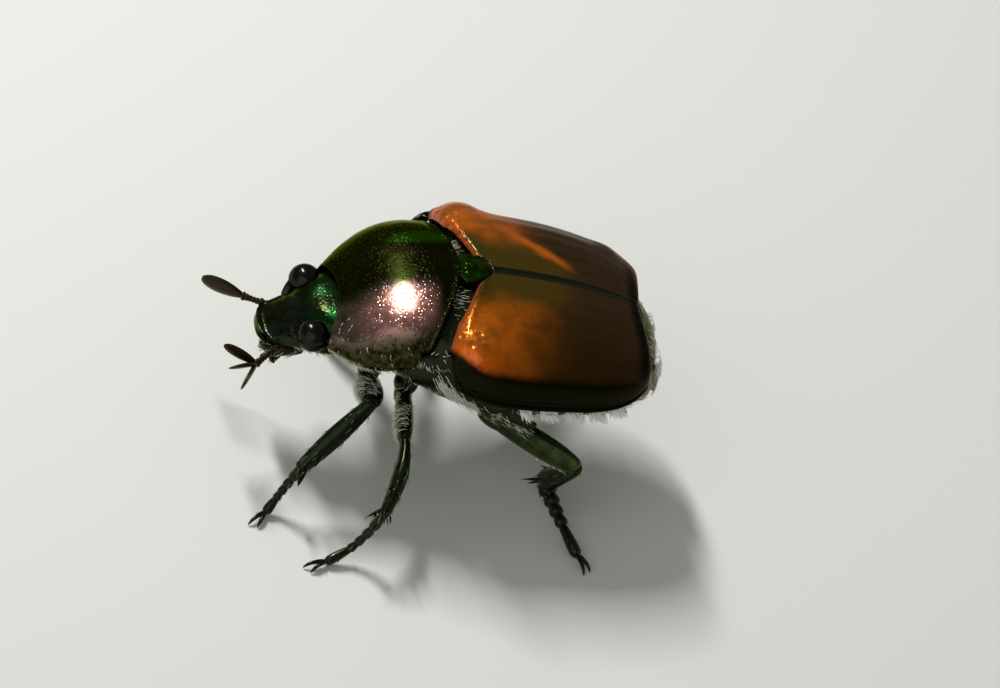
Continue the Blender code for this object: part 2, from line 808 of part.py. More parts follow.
def femur_form(leg):
    """Skin a thigh, swollen in the middle and narrow at the knee."""
    root, knee = leg_points(leg)[:2]
    shares = (0.0, 0.14, 0.30, 0.48, 0.66, 0.84, 1.0)
    swell = (0.92, 0.86, 0.92, 1.0, 0.98, 0.86, 0.74)
    points = [root.lerp(knee, share) for share in shares]
    widths = [leg.femur[0] * size for size in swell]
    depths = [leg.femur[1] * max(size, 0.92) for size in swell]
    return tube(points, widths, depths, leg.facing, 10)


def make_femur(name, leg, material, neighbours):
    """Hip and thigh in one."""
    root = leg_points(leg)[0]
    hip = root + UPRIGHT * HIP_HEIGHT * MM
    hip_size = [HIP_THICKNESS, HIP_THICKNESS, HIP_THICKNESS * 0.8]
    femur = place(name, femur_form(leg), material)
    fuse(femur, [tube([hip, root.lerp(hip, 0.5), root], hip_size, hip_size, ALONG_BODY, 8)])
    clear_of(femur, neighbours)
    return femur


def bowed(start, bend, end, share):
    """Give a point on the curve from start to end that leans to bend."""
    return start.lerp(bend, share).lerp(bend.lerp(end, share), share)


def shin_place(leg, share):
    """Give a point on a shin's middle line, knee to ankle."""
    knee, ankle = leg_points(leg)[1:3]
    return bowed(knee, knee.lerp(ankle, 0.5) + leg.arch * MM, ankle, share)


def tibia_spines(leg):
    """Give the teeth of a front shin, or the spines and spurs of the others."""
    knee, ankle = leg_points(leg)[1:3]
    axis = (ankle - knee).normalized()
    back = Vector((0.0, leg.side, 0.0))
    if leg.facing == ALONG_BODY:
        outer = (back - axis * back.dot(axis)).normalized()
        forms = []
        for share, size in ((0.76, 0.30), (0.97, 0.44)):
            root = shin_place(leg, share) + outer * 0.10 * MM
            tip = root + (outer * 0.8 + axis * 0.6).normalized() * (size + 0.1) * MM
            forms.append(thorn(root, tip, TOOTH_THICKNESS, SPINE_SINK))
        return forms
    outer = (UPRIGHT - axis * axis.z).normalized()
    beside = axis.cross(outer)
    forms = []
    for share, lean in ((0.34, 0.5), (0.40, -0.6), (0.64, 0.6), (0.70, -0.5)):
        way = (outer + beside * lean).normalized()
        root = shin_place(leg, share) + way * leg.tibia[1] * 0.30 * MM
        tip = root + (way * 0.7 + axis * 0.75).normalized() * SPINE_LENGTH * MM
        forms.append(thorn(root, tip, SPINE_THICKNESS, SPINE_SINK))
    for share, lean in ((0.90, 0.9), (0.97, 0.2)):
        way = (axis * 0.5 - ALONG_BODY * lean).normalized()
        root = shin_place(leg, share) + way * leg.tibia[1] * 0.30 * MM
        tip = root + way * SPUR_LENGTH * MM
        forms.append(thorn(root, tip, SPINE_THICKNESS, SPINE_SINK))
    return forms


def tibia_form(leg):
    """Skin a shin, wider towards its end."""
    shares = (0.0, 0.18, 0.40, 0.62, 0.84, 1.0)
    swell = (0.84, 0.88, 0.94, 1.0, 1.08, 1.02)
    points = [shin_place(leg, share) for share in shares]
    widths = [leg.tibia[0] * size for size in swell]
    depths = [leg.tibia[1] * max(size, 0.96) for size in swell]
    return tube(points, widths, depths, leg.facing, 8)


def make_tibia(name, leg, material):
    """A shin with its spines."""
    tibia = place(name, tibia_form(leg), material)
    fuse(tibia, tibia_spines(leg))
    clear_of(tibia, [femur_form(leg)])
    return tibia


def make_tarsus(name, leg, material):
    """A foot of five beads with two claws and a small flat to stand on."""
    ankle, bend, foot = leg_points(leg)[2:]
    shares = [0.0]
    sizes = [TARSUS_NARROW]
    for bead in range(TARSUS_BEADS):
        shares += [(bead + 0.62) / TARSUS_BEADS, (bead + 1.0) / TARSUS_BEADS]
        sizes += [TARSUS_WIDE, TARSUS_NARROW]
    sizes[-1] = TARSUS_WIDE * 0.9
    points = [bowed(ankle, bend, foot, share) for share in shares]
    tarsus = place(name, tube(points, sizes, sizes, UPRIGHT, 8), material)
    claws = []
    ahead = foot - bend
    ahead.z = 0.0
    ahead.normalize()
    beside = Vector((-ahead.y, ahead.x, 0.0))
    for turn, length in ((-CLAW_SPREAD, 1.0), (CLAW_SPREAD, 0.84)):
        way = ahead * math.cos(turn) + beside * math.sin(turn)
        reach = CLAW_LENGTH * length * MM
        root = foot + way * 0.05 * MM
        knuckle = root + way * reach * 0.6 + UPRIGHT * 0.05 * MM
        tip = root + way * (reach + 0.16 * MM) - UPRIGHT * 0.06 * MM
        claw_sizes = [CLAW_THICKNESS * share for share in (1.1, 0.9, 0.35)]
        claws.append(tube([root, knuckle, tip], claw_sizes, claw_sizes, UPRIGHT, 6))
    fuse(tarsus, claws, "MANIFOLD")
    clear_of(tarsus, [tibia_form(leg)], solver="MANIFOLD")
    level_sole(tarsus, "MANIFOLD")
    return tarsus


def make_legs(material, foot_material):
    """All six legs, each in three lengths that meet at a narrow joint."""
    items = []
    for name, leg in LEGS.items():
        near = [pronotum_form(), sternum_form(), trunk_length(THORAX_FRONT, THORAX_END, 8)]
        near.append(abdomen_form())
        if name.startswith("middle"):
            near.append(femur_form(LEGS[name.replace("middle", "front")]))
        items.append(make_femur("femur_" + name, leg, material, near))
        items.append(make_tibia("tibia_" + name, leg, material))
        items.append(make_tarsus("tarsus_" + name, leg, foot_material))
    return items


def main():
    clear_scene()
    green = chitin("green_chitin", (0.020, 0.085, 0.045), 0.22, 0.85)
    dark = chitin("dark_chitin", (0.022, 0.028, 0.022), 0.28, 0.55)
    black = chitin("black_foot", (0.012, 0.011, 0.010), 0.25, 0.2)
    copper = chitin("copper_wing_case", (0.230, 0.065, 0.015), 0.16, 0.25)
    brown = chitin("brown_feeler", (0.060, 0.024, 0.012), 0.30, 0.1)
    eye_black = chitin("eye_black", (0.010, 0.010, 0.011), 0.12, 0.1)

    place("pronotum", pronotum_form(), green)
    head = place("head", head_form(), green)
    clear_of(head, [pronotum_form()])
    make_eye("eye_left", LEFT, eye_black)
    make_eye("eye_right", RIGHT, eye_black)
    make_mouthparts(brown)
    make_feeler("antenna_left", LEFT, LEFT_CLUB_ROOT, LEFT_LEAF_TIPS, brown)
    make_feeler("antenna_right", RIGHT, RIGHT_CLUB_ROOT, RIGHT_LEAF_TIPS, brown)
    scutellum = place("scutellum", scutellum_form(), green)
    clear_of(scutellum, [pronotum_form()])
    make_elytron("elytron_left", LEFT, copper)
    make_elytron("elytron_right", RIGHT, copper)
    make_thorax(dark)
    make_abdomen(dark)
    make_pygidium(green)
    make_legs(dark, black)
    for item in bpy.data.objects:
        shade(item)


main()
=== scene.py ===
"""Japanese beetle, life-size and still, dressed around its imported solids.

Run it from Blender's text editor or as a script.  It registers a sidebar
panel whose buttons add the beetle piece by piece, and then adds them all.

A place on the beetle is given as (along, out, height) in millimetres: along
is the distance behind the tip of the scutellum, out the distance from the
middle plane and height the distance above the floor.
"""

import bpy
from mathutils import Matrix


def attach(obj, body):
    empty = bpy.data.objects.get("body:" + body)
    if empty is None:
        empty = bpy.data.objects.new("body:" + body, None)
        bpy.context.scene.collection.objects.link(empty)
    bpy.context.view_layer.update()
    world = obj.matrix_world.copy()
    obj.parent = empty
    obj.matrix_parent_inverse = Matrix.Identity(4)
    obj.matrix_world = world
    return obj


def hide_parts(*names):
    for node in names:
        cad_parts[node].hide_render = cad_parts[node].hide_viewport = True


bl_info = {
    "name": "Japanese beetle",
    "version": (1, 0, 0),
    "blender": (4, 5, 0),
    "location": "View3D > Sidebar > Beetle",
    "description": "Adds a life-size beetle with horn plates, hairs and tufts",
    "category": "Add Mesh",
}

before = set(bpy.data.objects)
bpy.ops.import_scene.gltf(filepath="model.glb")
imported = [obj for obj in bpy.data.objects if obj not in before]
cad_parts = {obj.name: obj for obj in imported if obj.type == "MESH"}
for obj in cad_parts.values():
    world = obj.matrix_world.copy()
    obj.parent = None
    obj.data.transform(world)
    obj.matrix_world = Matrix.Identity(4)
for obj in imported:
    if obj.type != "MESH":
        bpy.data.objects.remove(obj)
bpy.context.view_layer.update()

import bisect
import math
import random
from collections import namedtuple

import bmesh
import bpy
from bpy.props import FloatProperty, FloatVectorProperty, IntProperty, PointerProperty
from mathutils import Matrix, Quaternion, Vector

MM = 0.001
BODY = "root"
CENTRE_ALONG = -0.80
CENTRE_ACROSS = 0.21
LEFT = -1
RIGHT = 1
SIDES = {"left": LEFT, "right": RIGHT}

# Prothorax: along, half width, top, widest height, underside
PRONOTUM_STATIONS = (
    (-3.85, 1.42, 4.62, 3.90, 3.08),
    (-3.35, 2.00, 5.16, 4.05, 3.00),
    (-2.70, 2.42, 5.62, 4.26, 2.95),
    (-1.90, 2.57, 5.92, 4.46, 2.98),
    (-0.85, 2.52, 6.02, 4.68, 3.10),
)
PRONOTUM_ROUND_TOP = 2.5
PRONOTUM_ROUND_UNDER = 1.5
FRONT_ANGLE_REACH = -0.30
HIND_ANGLE_REACH = -0.85
HIND_ANGLE_CURVE = 1.6
FRONT_WALL_SLANT = 0.20
HIND_WALL_SLANT = -0.90
DOME_FALL = 0.15
# How far from the first or last section each ring of a wall lies, and how far it is drawn in
FRONT_WALL = ((0.30, 0.62), (0.26, 0.34), (0.03, 0.12), (0.01, 0.04))
HIND_WALL = ((0.0, 0.05), (-0.02, 0.14), (-0.10, 0.40))

# Head capsule: along, half width, top, widest height, underside
HEAD_STATIONS = (
    (-5.73, 0.72, 3.27, 3.12, 3.02),
    (-5.50, 0.78, 3.38, 3.14, 3.00),
    (-5.05, 0.84, 3.76, 3.30, 2.98),
    (-4.55, 1.04, 4.21, 3.56, 2.98),
    (-3.95, 1.32, 4.48, 3.85, 3.00),
    (-3.40, 1.36, 4.58, 3.96, 3.12),
)
HEAD_ROUND = 2.5
CLYPEUS_SEAM = -4.92
CLYPEUS_CURVE = 0.26
CLYPEUS_RISE = (-4.95, -5.15)
BROW = (-4.30, 0.30)
HEAD_END = -3.30
CLYPEUS_INSETS = (0.30, 0.10, 0.03)
RIDGE_BEFORE_EYE = (
    (-4.92, 0.76, 3.52), (-4.84, 0.90, 3.68), (-4.76, 1.04, 3.80), (-4.68, 1.18, 3.88),
)
EYE_CENTRE = (-4.45, 1.10, 3.88)
EYE_RADII = (0.44, 0.46, 0.42)

# Jaws and lip: along, half width, top, widest height, underside
MOUTH_STATIONS = (
    (-5.35, 0.30, 2.90, 2.66, 2.50),
    (-5.10, 0.46, 3.00, 2.62, 2.36),
    (-4.70, 0.52, 3.05, 2.60, 2.30),
    (-4.30, 0.40, 3.05, 2.62, 2.42),
)
LIP = ((-5.30, 0.0, 2.98), (-5.42, 0.0, 2.86), (-5.44, 0.0, 2.72), (-5.36, 0.0, 2.62))
JAW = (
    (-4.70, 0.56, 2.86), (-5.00, 0.62, 2.78), (-5.28, 0.54, 2.70), (-5.44, 0.36, 2.66),
    (-5.50, 0.18, 2.66),
)
LONG_PALP = ((-4.95, 0.38, 2.48), (-5.02, 0.44, 2.44), (-5.08, 0.48, 2.39), (-5.14, 0.50, 2.34))
SHORT_PALP = ((-5.05, 0.16, 2.36), (-5.22, 0.20, 2.26), (-5.34, 0.22, 2.16))

# Feelers: root of the stalk, then root and tips of the club's leaves
FEELER_ROOT = (-4.98, 0.62, 3.18)
CLUBS = {
    "left": ((-5.72, 1.19, 2.76), ((-6.74, 1.22, 3.30), (-6.57, 1.84, 3.05), (-6.20, 2.16, 2.68))),
    "right": ((-5.90, 1.18, 2.99), ((-7.02, 1.50, 3.21), (-7.03, 1.60, 3.10), (-6.99, 1.68, 2.99))),
}
CLUB_LEAF_WIDTH = 0.46
CLUB_LEAF_DEPTH = 0.20
UPPER_LEAF_SHARE = 0.70

SCUTELLUM_LENGTH = 1.00
SCUTELLUM_HALF_WIDTH = 0.66
SCUTELLUM_TOP = 6.00
# From its root to its middle: how wide each row is, and how far above the top it lies
SCUTELLUM_ROWS = (
    (0.90, -0.50), (0.97, -0.30), (1.0, -0.08), (0.98, -0.015), (0.93, 0.008),
    (0.84, 0.004), (0.66, 0.012), (0.40, 0.025), (0.16, 0.030),
)

# Wing cases: along, half width, height at the seam, height at the side rim
ELYTRON_STATIONS = (
    (-1.60, 2.70, 5.30, 4.90),
    (-1.30, 3.00, 5.60, 4.74),
    (-1.00, 3.16, 5.84, 4.52),
    (-0.50, 3.28, 5.96, 4.32),
    (0.40, 3.33, 5.99, 4.14),
    (1.90, 3.25, 5.90, 4.15),
    (3.20, 3.00, 5.70, 4.14),
    (4.00, 2.62, 5.46, 4.22),
    (4.45, 2.16, 5.24, 4.42),
    (4.72, 1.60, 5.04, 4.62),
)
ELYTRON_ROUND = 3.0
ELYTRON_THICKNESS = 0.12
ELYTRON_FRONT = -0.30
ELYTRON_FRONT_SWEEP = -1.05
ELYTRON_FRONT_CURVE = 0.8
ELYTRON_CORNER_CUT = 0.35
ELYTRON_SEAM_END = 4.22
ELYTRON_SIDE_END = 4.46
SEAM_GAP = 0.008
RIDGES = 9
SHOULDER = (-0.45, 0.70)
SHOULDER_REACH = (0.60, 0.20)
TAIL_KNOB = (0.86, 0.60)
TAIL_KNOB_REACH = (0.07, 0.10)
# Beads and furrows beside seam and rim: height, share of the way to the rim, reach
WING_BEADS = (
    (0.030, 0.985, 0.012), (0.004, 0.022, 0.014), (-0.030, 0.955, 0.018), (-0.003, 0.050, 0.012),
)
WING_SECTION = (3.30, 1.85)
FRONT_LIP = 0.025
FRONT_CLOSENESS = 1.25
WING_GRID = (110, 126)

# Trunk: along, then half width, top and shoulder under the wing cases, then
# half width, widest height and underside where it is bare
TRUNK_STATIONS = (
    (-1.30, 1.90, 5.00, 4.35, 2.20, 3.90, 2.78),
    (-0.60, 2.40, 5.30, 4.20, 2.52, 3.76, 2.66),
    (0.40, 2.55, 5.35, 4.10, 2.76, 3.64, 2.50),
    (1.10, 2.55, 5.30, 4.08, 2.74, 3.65, 2.58),
    (1.90, 2.50, 5.22, 4.08, 2.68, 3.68, 2.70),
    (3.20, 2.28, 5.00, 4.10, 2.48, 3.72, 2.88),
    (4.00, 2.20, 4.84, 4.16, 2.16, 3.80, 3.00),
    (4.45, 1.86, 4.66, 4.14, 1.84, 3.82, 3.06),
    (4.80, 1.20, 4.34, 4.00, 1.45, 3.74, 3.12),
)
TRUNK_ROUND_UNDER = 1.9

# Collar between prothorax and wing cases, with the same columns as the prothorax
COLLAR_STATIONS = (
    (-2.30, 2.05, 5.22, 4.20, 2.95),
    (-1.60, 2.52, 5.58, 4.30, 2.85),
    (-0.90, 2.84, 5.72, 4.20, 2.75),
    (-0.20, 2.94, 5.70, 4.10, 2.70),
)
THORAX_END = 0.95
BREAST_STATIONS = (
    (-1.95, 0.90, 3.30, 3.00, 2.76),
    (-1.60, 1.35, 3.70, 3.10, 2.66),
    (-0.90, 1.90, 4.00, 3.20, 2.62),
    (0.00, 2.00, 4.00, 3.20, 2.60),
)
# Side plates of the hind thorax: start, bend, end, width, depth
THORAX_PLATES = (
    ((-1.95, 2.36, 4.50), (-1.54, 2.78, 4.92), (-1.14, 2.92, 5.14), 0.46, 0.26),
    ((0.35, 2.25, 3.45), (0.90, 2.66, 3.32), (1.62, 2.80, 3.16), 0.44, 0.20),
    ((-1.05, 1.60, 3.46), (-0.30, 2.30, 3.30), (0.55, 2.66, 3.44), 0.50, 0.26),
    ((-0.95, 1.95, 3.85), (-0.20, 2.50, 3.86), (0.70, 2.72, 3.84), 0.48, 0.20),
    ((0.62, 0.30, 2.66), (0.74, 1.10, 2.66), (0.84, 2.20, 2.98), 0.62, 0.34),
)
PLATE_SWELL = (0.55, 0.78, 0.92, 1.0, 1.0, 1.0, 0.94, 0.80, 0.55)
BELLY_PLATES = (0.95, 1.62, 2.34, 3.02, 3.62, 4.12)

# Last plate of the back: height, along at the middle, half width
PYGIDIUM_STATIONS = (
    (3.18, 5.26, 0.66),
    (3.45, 5.28, 1.10),
    (3.85, 5.14, 1.50),
    (4.30, 4.96, 1.74),
    (4.70, 4.74, 1.66),
    (5.00, 4.42, 1.30),
)
PYGIDIUM_WIDEST = 1.74
PYGIDIUM_SIDE_SWEEP = 0.62
PYGIDIUM_THICKNESS = 0.42
PYGIDIUM_GRID = (48, 56)

# White tufts along the belly's edge and on the last plate
SIDE_TUFTS_ALONG = (1.26, 1.90, 2.60, 3.24, 3.80)
FIRST_TUFT_SIZE = 0.6
LOCK_RADIUS = 0.055
SIDE_TUFT_REACH = 0.21
PYGIDIUM_TUFT = (0.72, 4.20)
TAIL_TUFT_REACH = 0.24
TAIL_TUFT_DROPS = (-0.13, 0.13)

# Legs: joints as (along, out, height), and how wide and thick each length is
Leg = namedtuple("Leg", "side root knee ankle bend foot femur tibia facing arch")
ALONG_BODY = Vector((1.0, 0.0, 0.0))
ACROSS_BODY = Vector((0.0, 1.0, 0.0))
UPRIGHT = Vector((0.0, 0.0, 1.0))
EDGE_ON = Vector((-0.25, -0.73, 0.63))
STRAIGHT = Vector((0.0, 0.0, 0.0))
ARCHED = Vector((0.30, 0.0, 0.23))
FRONT_FEMUR = (0.72, 0.52)
MIDDLE_FEMUR = (0.62, 0.50)
HIND_FEMUR = (0.80, 0.55)
SLIM_TIBIA = (0.54, 0.44)
STOUT_TIBIA = (0.62, 0.50)
LEGS = {
    "front_left": Leg(
        LEFT, (-2.60, 0.85, 2.52), (-2.83, 2.70, 3.20), (-4.44, 3.66, 1.47),
        (-4.85, 3.72, 0.36), (-5.09, 4.05, 0.14), FRONT_FEMUR, SLIM_TIBIA,
        ALONG_BODY, STRAIGHT,
    ),
    "front_right": Leg(
        RIGHT, (-2.60, 0.85, 2.52), (-2.50, 2.68, 3.15), (-3.00, 3.42, 1.07),
        (-3.05, 4.00, 0.28), (-3.10, 4.72, 0.14), FRONT_FEMUR, SLIM_TIBIA,
        ALONG_BODY, STRAIGHT,
    ),
    "middle_left": Leg(
        LEFT, (-1.60, 1.15, 2.40), (-1.87, 3.37, 2.63), (-2.43, 5.36, 1.63),
        (-2.80, 5.25, 0.22), (-3.60, 5.71, 0.14), MIDDLE_FEMUR, STOUT_TIBIA,
        UPRIGHT, ARCHED,
    ),
    "middle_right": Leg(
        RIGHT, (-1.60, 1.15, 2.40), (-1.20, 3.30, 3.00), (-1.08, 4.55, 1.35),
        (-0.90, 4.95, 0.30), (-0.66, 6.00, 0.14), MIDDLE_FEMUR, STOUT_TIBIA,
        UPRIGHT, ARCHED,
    ),
    "hind_left": Leg(
        LEFT, (0.85, 1.45, 2.20), (2.86, 3.50, 2.55), (2.58, 2.20, 0.80),
        (2.95, 3.15, 0.40), (3.42, 4.25, 0.14), HIND_FEMUR, STOUT_TIBIA,
        UPRIGHT, STRAIGHT,
    ),
    "hind_right": Leg(
        RIGHT, (0.85, 1.45, 2.20), (2.70, 3.55, 2.72), (3.36, 4.36, 0.70),
        (3.85, 4.85, 0.26), (4.65, 5.78, 0.14), HIND_FEMUR, STOUT_TIBIA,
        UPRIGHT, STRAIGHT,
    ),
}
TARSUS_WIDTH = 0.42
TARSUS_JOINTS = (0.0, 0.18, 0.32, 0.46, 0.60, 1.0)
TARSUS_SWELL = (0.72, 0.66, 0.62, 0.60, 0.68)
HIND_TARSUS_SWELL = (1.24, 1.10, 0.98, 0.88, 0.80)
CLAW_SPREAD = math.radians(11.0)
CLAW_LENGTH = 0.48
# Claw: share of its length, then distance ahead and height added to it, and thickness
CLAW_PATH = (
    (0.0, 0.02, 0.0, 0.14), (0.30, 0.0, 0.05, 0.14), (0.62, 0.05, 0.055, 0.12),
    (0.88, 0.10, 0.02, 0.10), (1.0, 0.14, -0.04, 0.07), (1.0, 0.19, -0.10, 0.03),
)

# The photo's view: picture directions in the scene, and where the scutellum's
# tip lies in the picture, in pixels of a frame 1000 wide and 688 high
VIEW_RIGHT = Vector((0.96, -0.11, 0.258)).normalized()
VIEW_UP_ROUGH = Vector((-0.12, 0.67, 0.7326))
PIXELS_PER_MM = 38.0
PICTURE_SIZE = (1000, 688)
TIP_PIXEL = (492, 269)
SENSOR_WIDTH = 36.0
FLOOR_SIZE = 3.0
BODY_MIDDLE = Vector((0.0, 0.0, 0.0035))


# Places

def at(along, across, height):
    """Turn a place on the beetle, in millimetres, into a point of the scene."""
    return Vector((along - CENTRE_ALONG, across - CENTRE_ACROSS, height)) * MM


def on_side(side, place):
    """Give a place its side of the body."""
    along, out, height = place
    return at(along, side * out, height)


def route(side, places):
    """Give a list of places their side of the body."""
    return [on_side(side, place) for place in places]


def place_of(point):
    """Turn a point of the scene into (along, across, height)."""
    return point.x / MM + CENTRE_ALONG, point.y / MM + CENTRE_ACROSS, point.z / MM


def curve_at(stations, place):
    """Read a smooth curve through stations, whose first value is the place."""
    last = len(stations) - 2
    index = 0
    while index < last and place > stations[index + 1][0]:
        index += 1
    before = stations[max(index - 1, 0)]
    start = stations[index]
    end = stations[index + 1]
    after = stations[min(index + 2, len(stations) - 1)]
    span = end[0] - start[0]
    share = (place - start[0]) / span
    values = []
    for column in range(1, len(start)):
        slope_in = (end[column] - before[column]) / (end[0] - before[0]) * span
        slope_out = (after[column] - start[column]) / (after[0] - start[0]) * span
        square = share * share
        cube = square * share
        values.append(
            (2 * cube - 3 * square + 1) * start[column]
            + (cube - 2 * square + share) * slope_in
            + (3 * square - 2 * cube) * end[column]
            + (cube - square) * slope_out
        )
    return values


def spread(first, last, count):
    """Give evenly spaced values, both ends included."""
    return [first + (last - first) * step / (count - 1) for step in range(count)]


def bell(value, middle, reach):
    """Give 1 at the middle, falling softly to 0 past the reach."""
    return math.exp(-((value - middle) / reach) ** 2)


def ease(value, start, end):
    """Rise softly from 0 at start to 1 at end."""
    share = min(max((value - start) / (end - start), 0.0), 1.0)
    return share * share * (3 - 2 * share)


def rounded(angle, roundness):
    """Give the two sides of a superellipse at an angle."""
    wide = math.cos(angle)
    high = math.sin(angle)
    power = 2.0 / roundness
    return (
        math.copysign(abs(wide) ** power, wide),
        math.copysign(abs(high) ** power, high),
    )


def bowed(start, bend, end, share):
    """Give a point on the curve from start to end that leans to bend."""
    return start.lerp(bend, share).lerp(bend.lerp(end, share), share)


def between(start, end, shares):
    """Give the points that lie these shares of the way from start to end."""
    return [start.lerp(end, share) for share in shares]


def times(size, shares):
    """Give the size times each share."""
    return [size * share for share in shares]


# Modelling

def deselect_all():
    """Leave edit mode and let go of every object."""
    if bpy.context.object and bpy.context.object.mode != "OBJECT":
        bpy.ops.object.mode_set(mode="OBJECT")
    bpy.ops.object.select_all(action="DESELECT")


def pick(items):
    """Select only these objects, the first of them active."""
    deselect_all()
    for item in items:
        item.select_set(True)
    bpy.context.view_layer.objects.active = items[0]


def named(name):
    """Name the object that was just added, and its mesh."""
    item = bpy.context.object
    item.name = name
    item.data.name = name
    return item


def apply_modifier(item, name, kind, **values):
    """Add a modifier, set it up and apply it."""
    pick([item])
    modifier = item.modifiers.new(name, kind)
    for key, value in values.items():
        setattr(modifier, key, value)
    bpy.ops.object.modifier_apply(modifier=modifier.name)


def smooth_over(item, levels=1, sharp_angle=60.0):
    """Round a piece off by subdivision and shade it smooth."""
    if levels:
        apply_modifier(
            item, "round", "SUBSURF",
            levels=levels, render_levels=levels, boundary_smooth="PRESERVE_CORNERS",
        )
    pick([item])
    bpy.ops.object.shade_smooth_by_angle(angle=math.radians(sharp_angle))


def join(name, items):
    """Join objects into one piece."""
    pick(items)
    if len(items) > 1:
        bpy.ops.object.join()
    items[0].name = name
    items[0].data.name = name
    return items[0]


def lay_ring(form, ring, step_layer):
    """Move the selected loop of vertices to a ring of points."""
    for vert in form.verts:
        if vert.select:
            vert.co = ring[vert[step_layer]]


def skin(name, rings):
    """Extrude a circle from ring to ring and close both ends."""
    deselect_all()
    bpy.ops.mesh.primitive_circle_add(vertices=len(rings[0]), radius=MM, fill_type="NOTHING")
    item = named(name)
    bpy.ops.object.mode_set(mode="EDIT")
    form = bmesh.from_edit_mesh(item.data)
    step_layer = form.verts.layers.int.new("step")
    for step, vert in enumerate(form.verts):
        vert[step_layer] = step
    lay_ring(form, rings[0], step_layer)
    bmesh.update_edit_mesh(item.data)
    bpy.ops.mesh.select_all(action="SELECT")
    close_end(rings[0])
    for ring in rings[1:]:
        bpy.ops.mesh.extrude_region_move()
        form = bmesh.from_edit_mesh(item.data)
        lay_ring(form, ring, form.verts.layers.int["step"])
        bmesh.update_edit_mesh(item.data)
    close_end(rings[-1])
    bpy.ops.mesh.select_all(action="SELECT")
    bpy.ops.mesh.normals_make_consistent(inside=False)
    bpy.ops.object.mode_set(mode="OBJECT")
    settle_order(item)
    settle_place(item)
    return item


def close_end(ring):
    """Close the selected loop with a fan, and leave the loop selected."""
    mesh = bpy.context.object.data
    form = bmesh.from_edit_mesh(mesh)
    loop = [vert for vert in form.verts if vert.select]
    loop_edges = [edge for edge in form.edges if edge.select]
    middle = form.verts.new(sum(ring, Vector()) / len(ring))
    for edge in loop_edges:
        form.faces.new((edge.verts[0], edge.verts[1], middle))
    middle.select = False
    for face in form.faces:
        face.select = False
    for vert in loop:
        vert.select = True
    for edge in loop_edges:
        edge.select = True
    bmesh.update_edit_mesh(mesh)


def settle_order(item):
    """Number faces and edges by their vertices, as operators number them anew each run."""
    mesh = item.data
    points = [vert.co.copy() for vert in mesh.vertices]
    faces = []
    for face in mesh.polygons:
        corners = list(face.vertices)
        first = corners.index(min(corners))
        faces.append(corners[first:] + corners[:first])
    mesh.clear_geometry()
    mesh.from_pydata(points, [], sorted(faces))


def settle_place(item):
    """Put the object at the origin, with its place in its mesh."""
    pick([item])
    bpy.ops.object.transform_apply(location=True, rotation=True, scale=True)


def add_grid(name, grid):
    """Add a grid, and give it with each vertex's place on its own map."""
    deselect_all()
    bpy.ops.mesh.primitive_grid_add(x_subdivisions=grid[0], y_subdivisions=grid[1], size=MM)
    item = named(name)
    layer = item.data.uv_layers[0]
    return item, {loop.vertex_index: tuple(layer.data[loop.index].uv) for loop in item.data.loops}


def thicken(item, thickness, edge, segments):
    """Give a curved surface its thickness inwards and round its edges off."""
    settle_place(item)
    apply_modifier(
        item, "shell", "SOLIDIFY", thickness=thickness * MM, offset=-1.0, use_even_offset=False,
    )
    apply_modifier(
        item, "edge", "BEVEL", width=edge * MM, segments=segments, angle_limit=math.radians(60),
    )
    smooth_over(item, 0, 50.0)


def limb_rings(points, widths, depths, facing, sides):
    """Give oval rings along a limb's middle line."""
    count = len(points)
    rings = []
    for index, centre in enumerate(points):
        before = points[max(index - 1, 0)]
        after = points[min(index + 1, count - 1)]
        axis = (after - before).normalized()
        wide = (facing - axis * facing.dot(axis)).normalized()
        deep = axis.cross(wide)
        ring = []
        for step in range(sides):
            angle = math.tau * (step + 0.5) / sides
            ring.append(
                centre
                + wide * (math.cos(angle) * widths[index] / 2 * MM)
                + deep * (math.sin(angle) * depths[index] / 2 * MM)
            )
        rings.append(ring)
    return rings


END_REACH = 0.22
END_SIZE = 0.62


def limb(name, points, widths, depths, facing, sides=16):
    """Model a limb along points, with rounded ends."""
    start_way = (points[0] - points[1]).normalized()
    end_way = (points[-1] - points[-2]).normalized()
    first = points[0] + start_way * depths[0] * END_REACH * MM
    last = points[-1] + end_way * depths[-1] * END_REACH * MM
    points = [first, *points, last]
    widths = [widths[0] * END_SIZE, *widths, widths[-1] * END_SIZE]
    depths = [depths[0] * END_SIZE, *depths, depths[-1] * END_SIZE]
    return skin(name, limb_rings(points, widths, depths, facing, sides))


def slender(rows, sides):
    """Model one straight spine or hair of unit length and width, and read it."""
    rings = []
    for share in spread(0.0, 1.0, rows):
        radius = 0.5 * (1.0 - 0.92 * share ** 1.6)
        ring = []
        for step in range(sides):
            angle = math.tau * step / sides
            ring.append(Vector((math.cos(angle) * radius, math.sin(angle) * radius, share)))
        rings.append(ring)
    item = skin("slender", rings)
    places = [vert.co.copy() for vert in item.data.vertices]
    faces = [tuple(face.vertices) for face in item.data.polygons]
    bpy.data.objects.remove(item, do_unlink=True)
    return places, faces


Root = namedtuple("Root", "point way bend length thickness patch", defaults=(None,))
PATCH = 0.003
PATCH_FILL = 0.9
MAP_MARGIN = 0.04
TRIES_PER_HAIR = 60


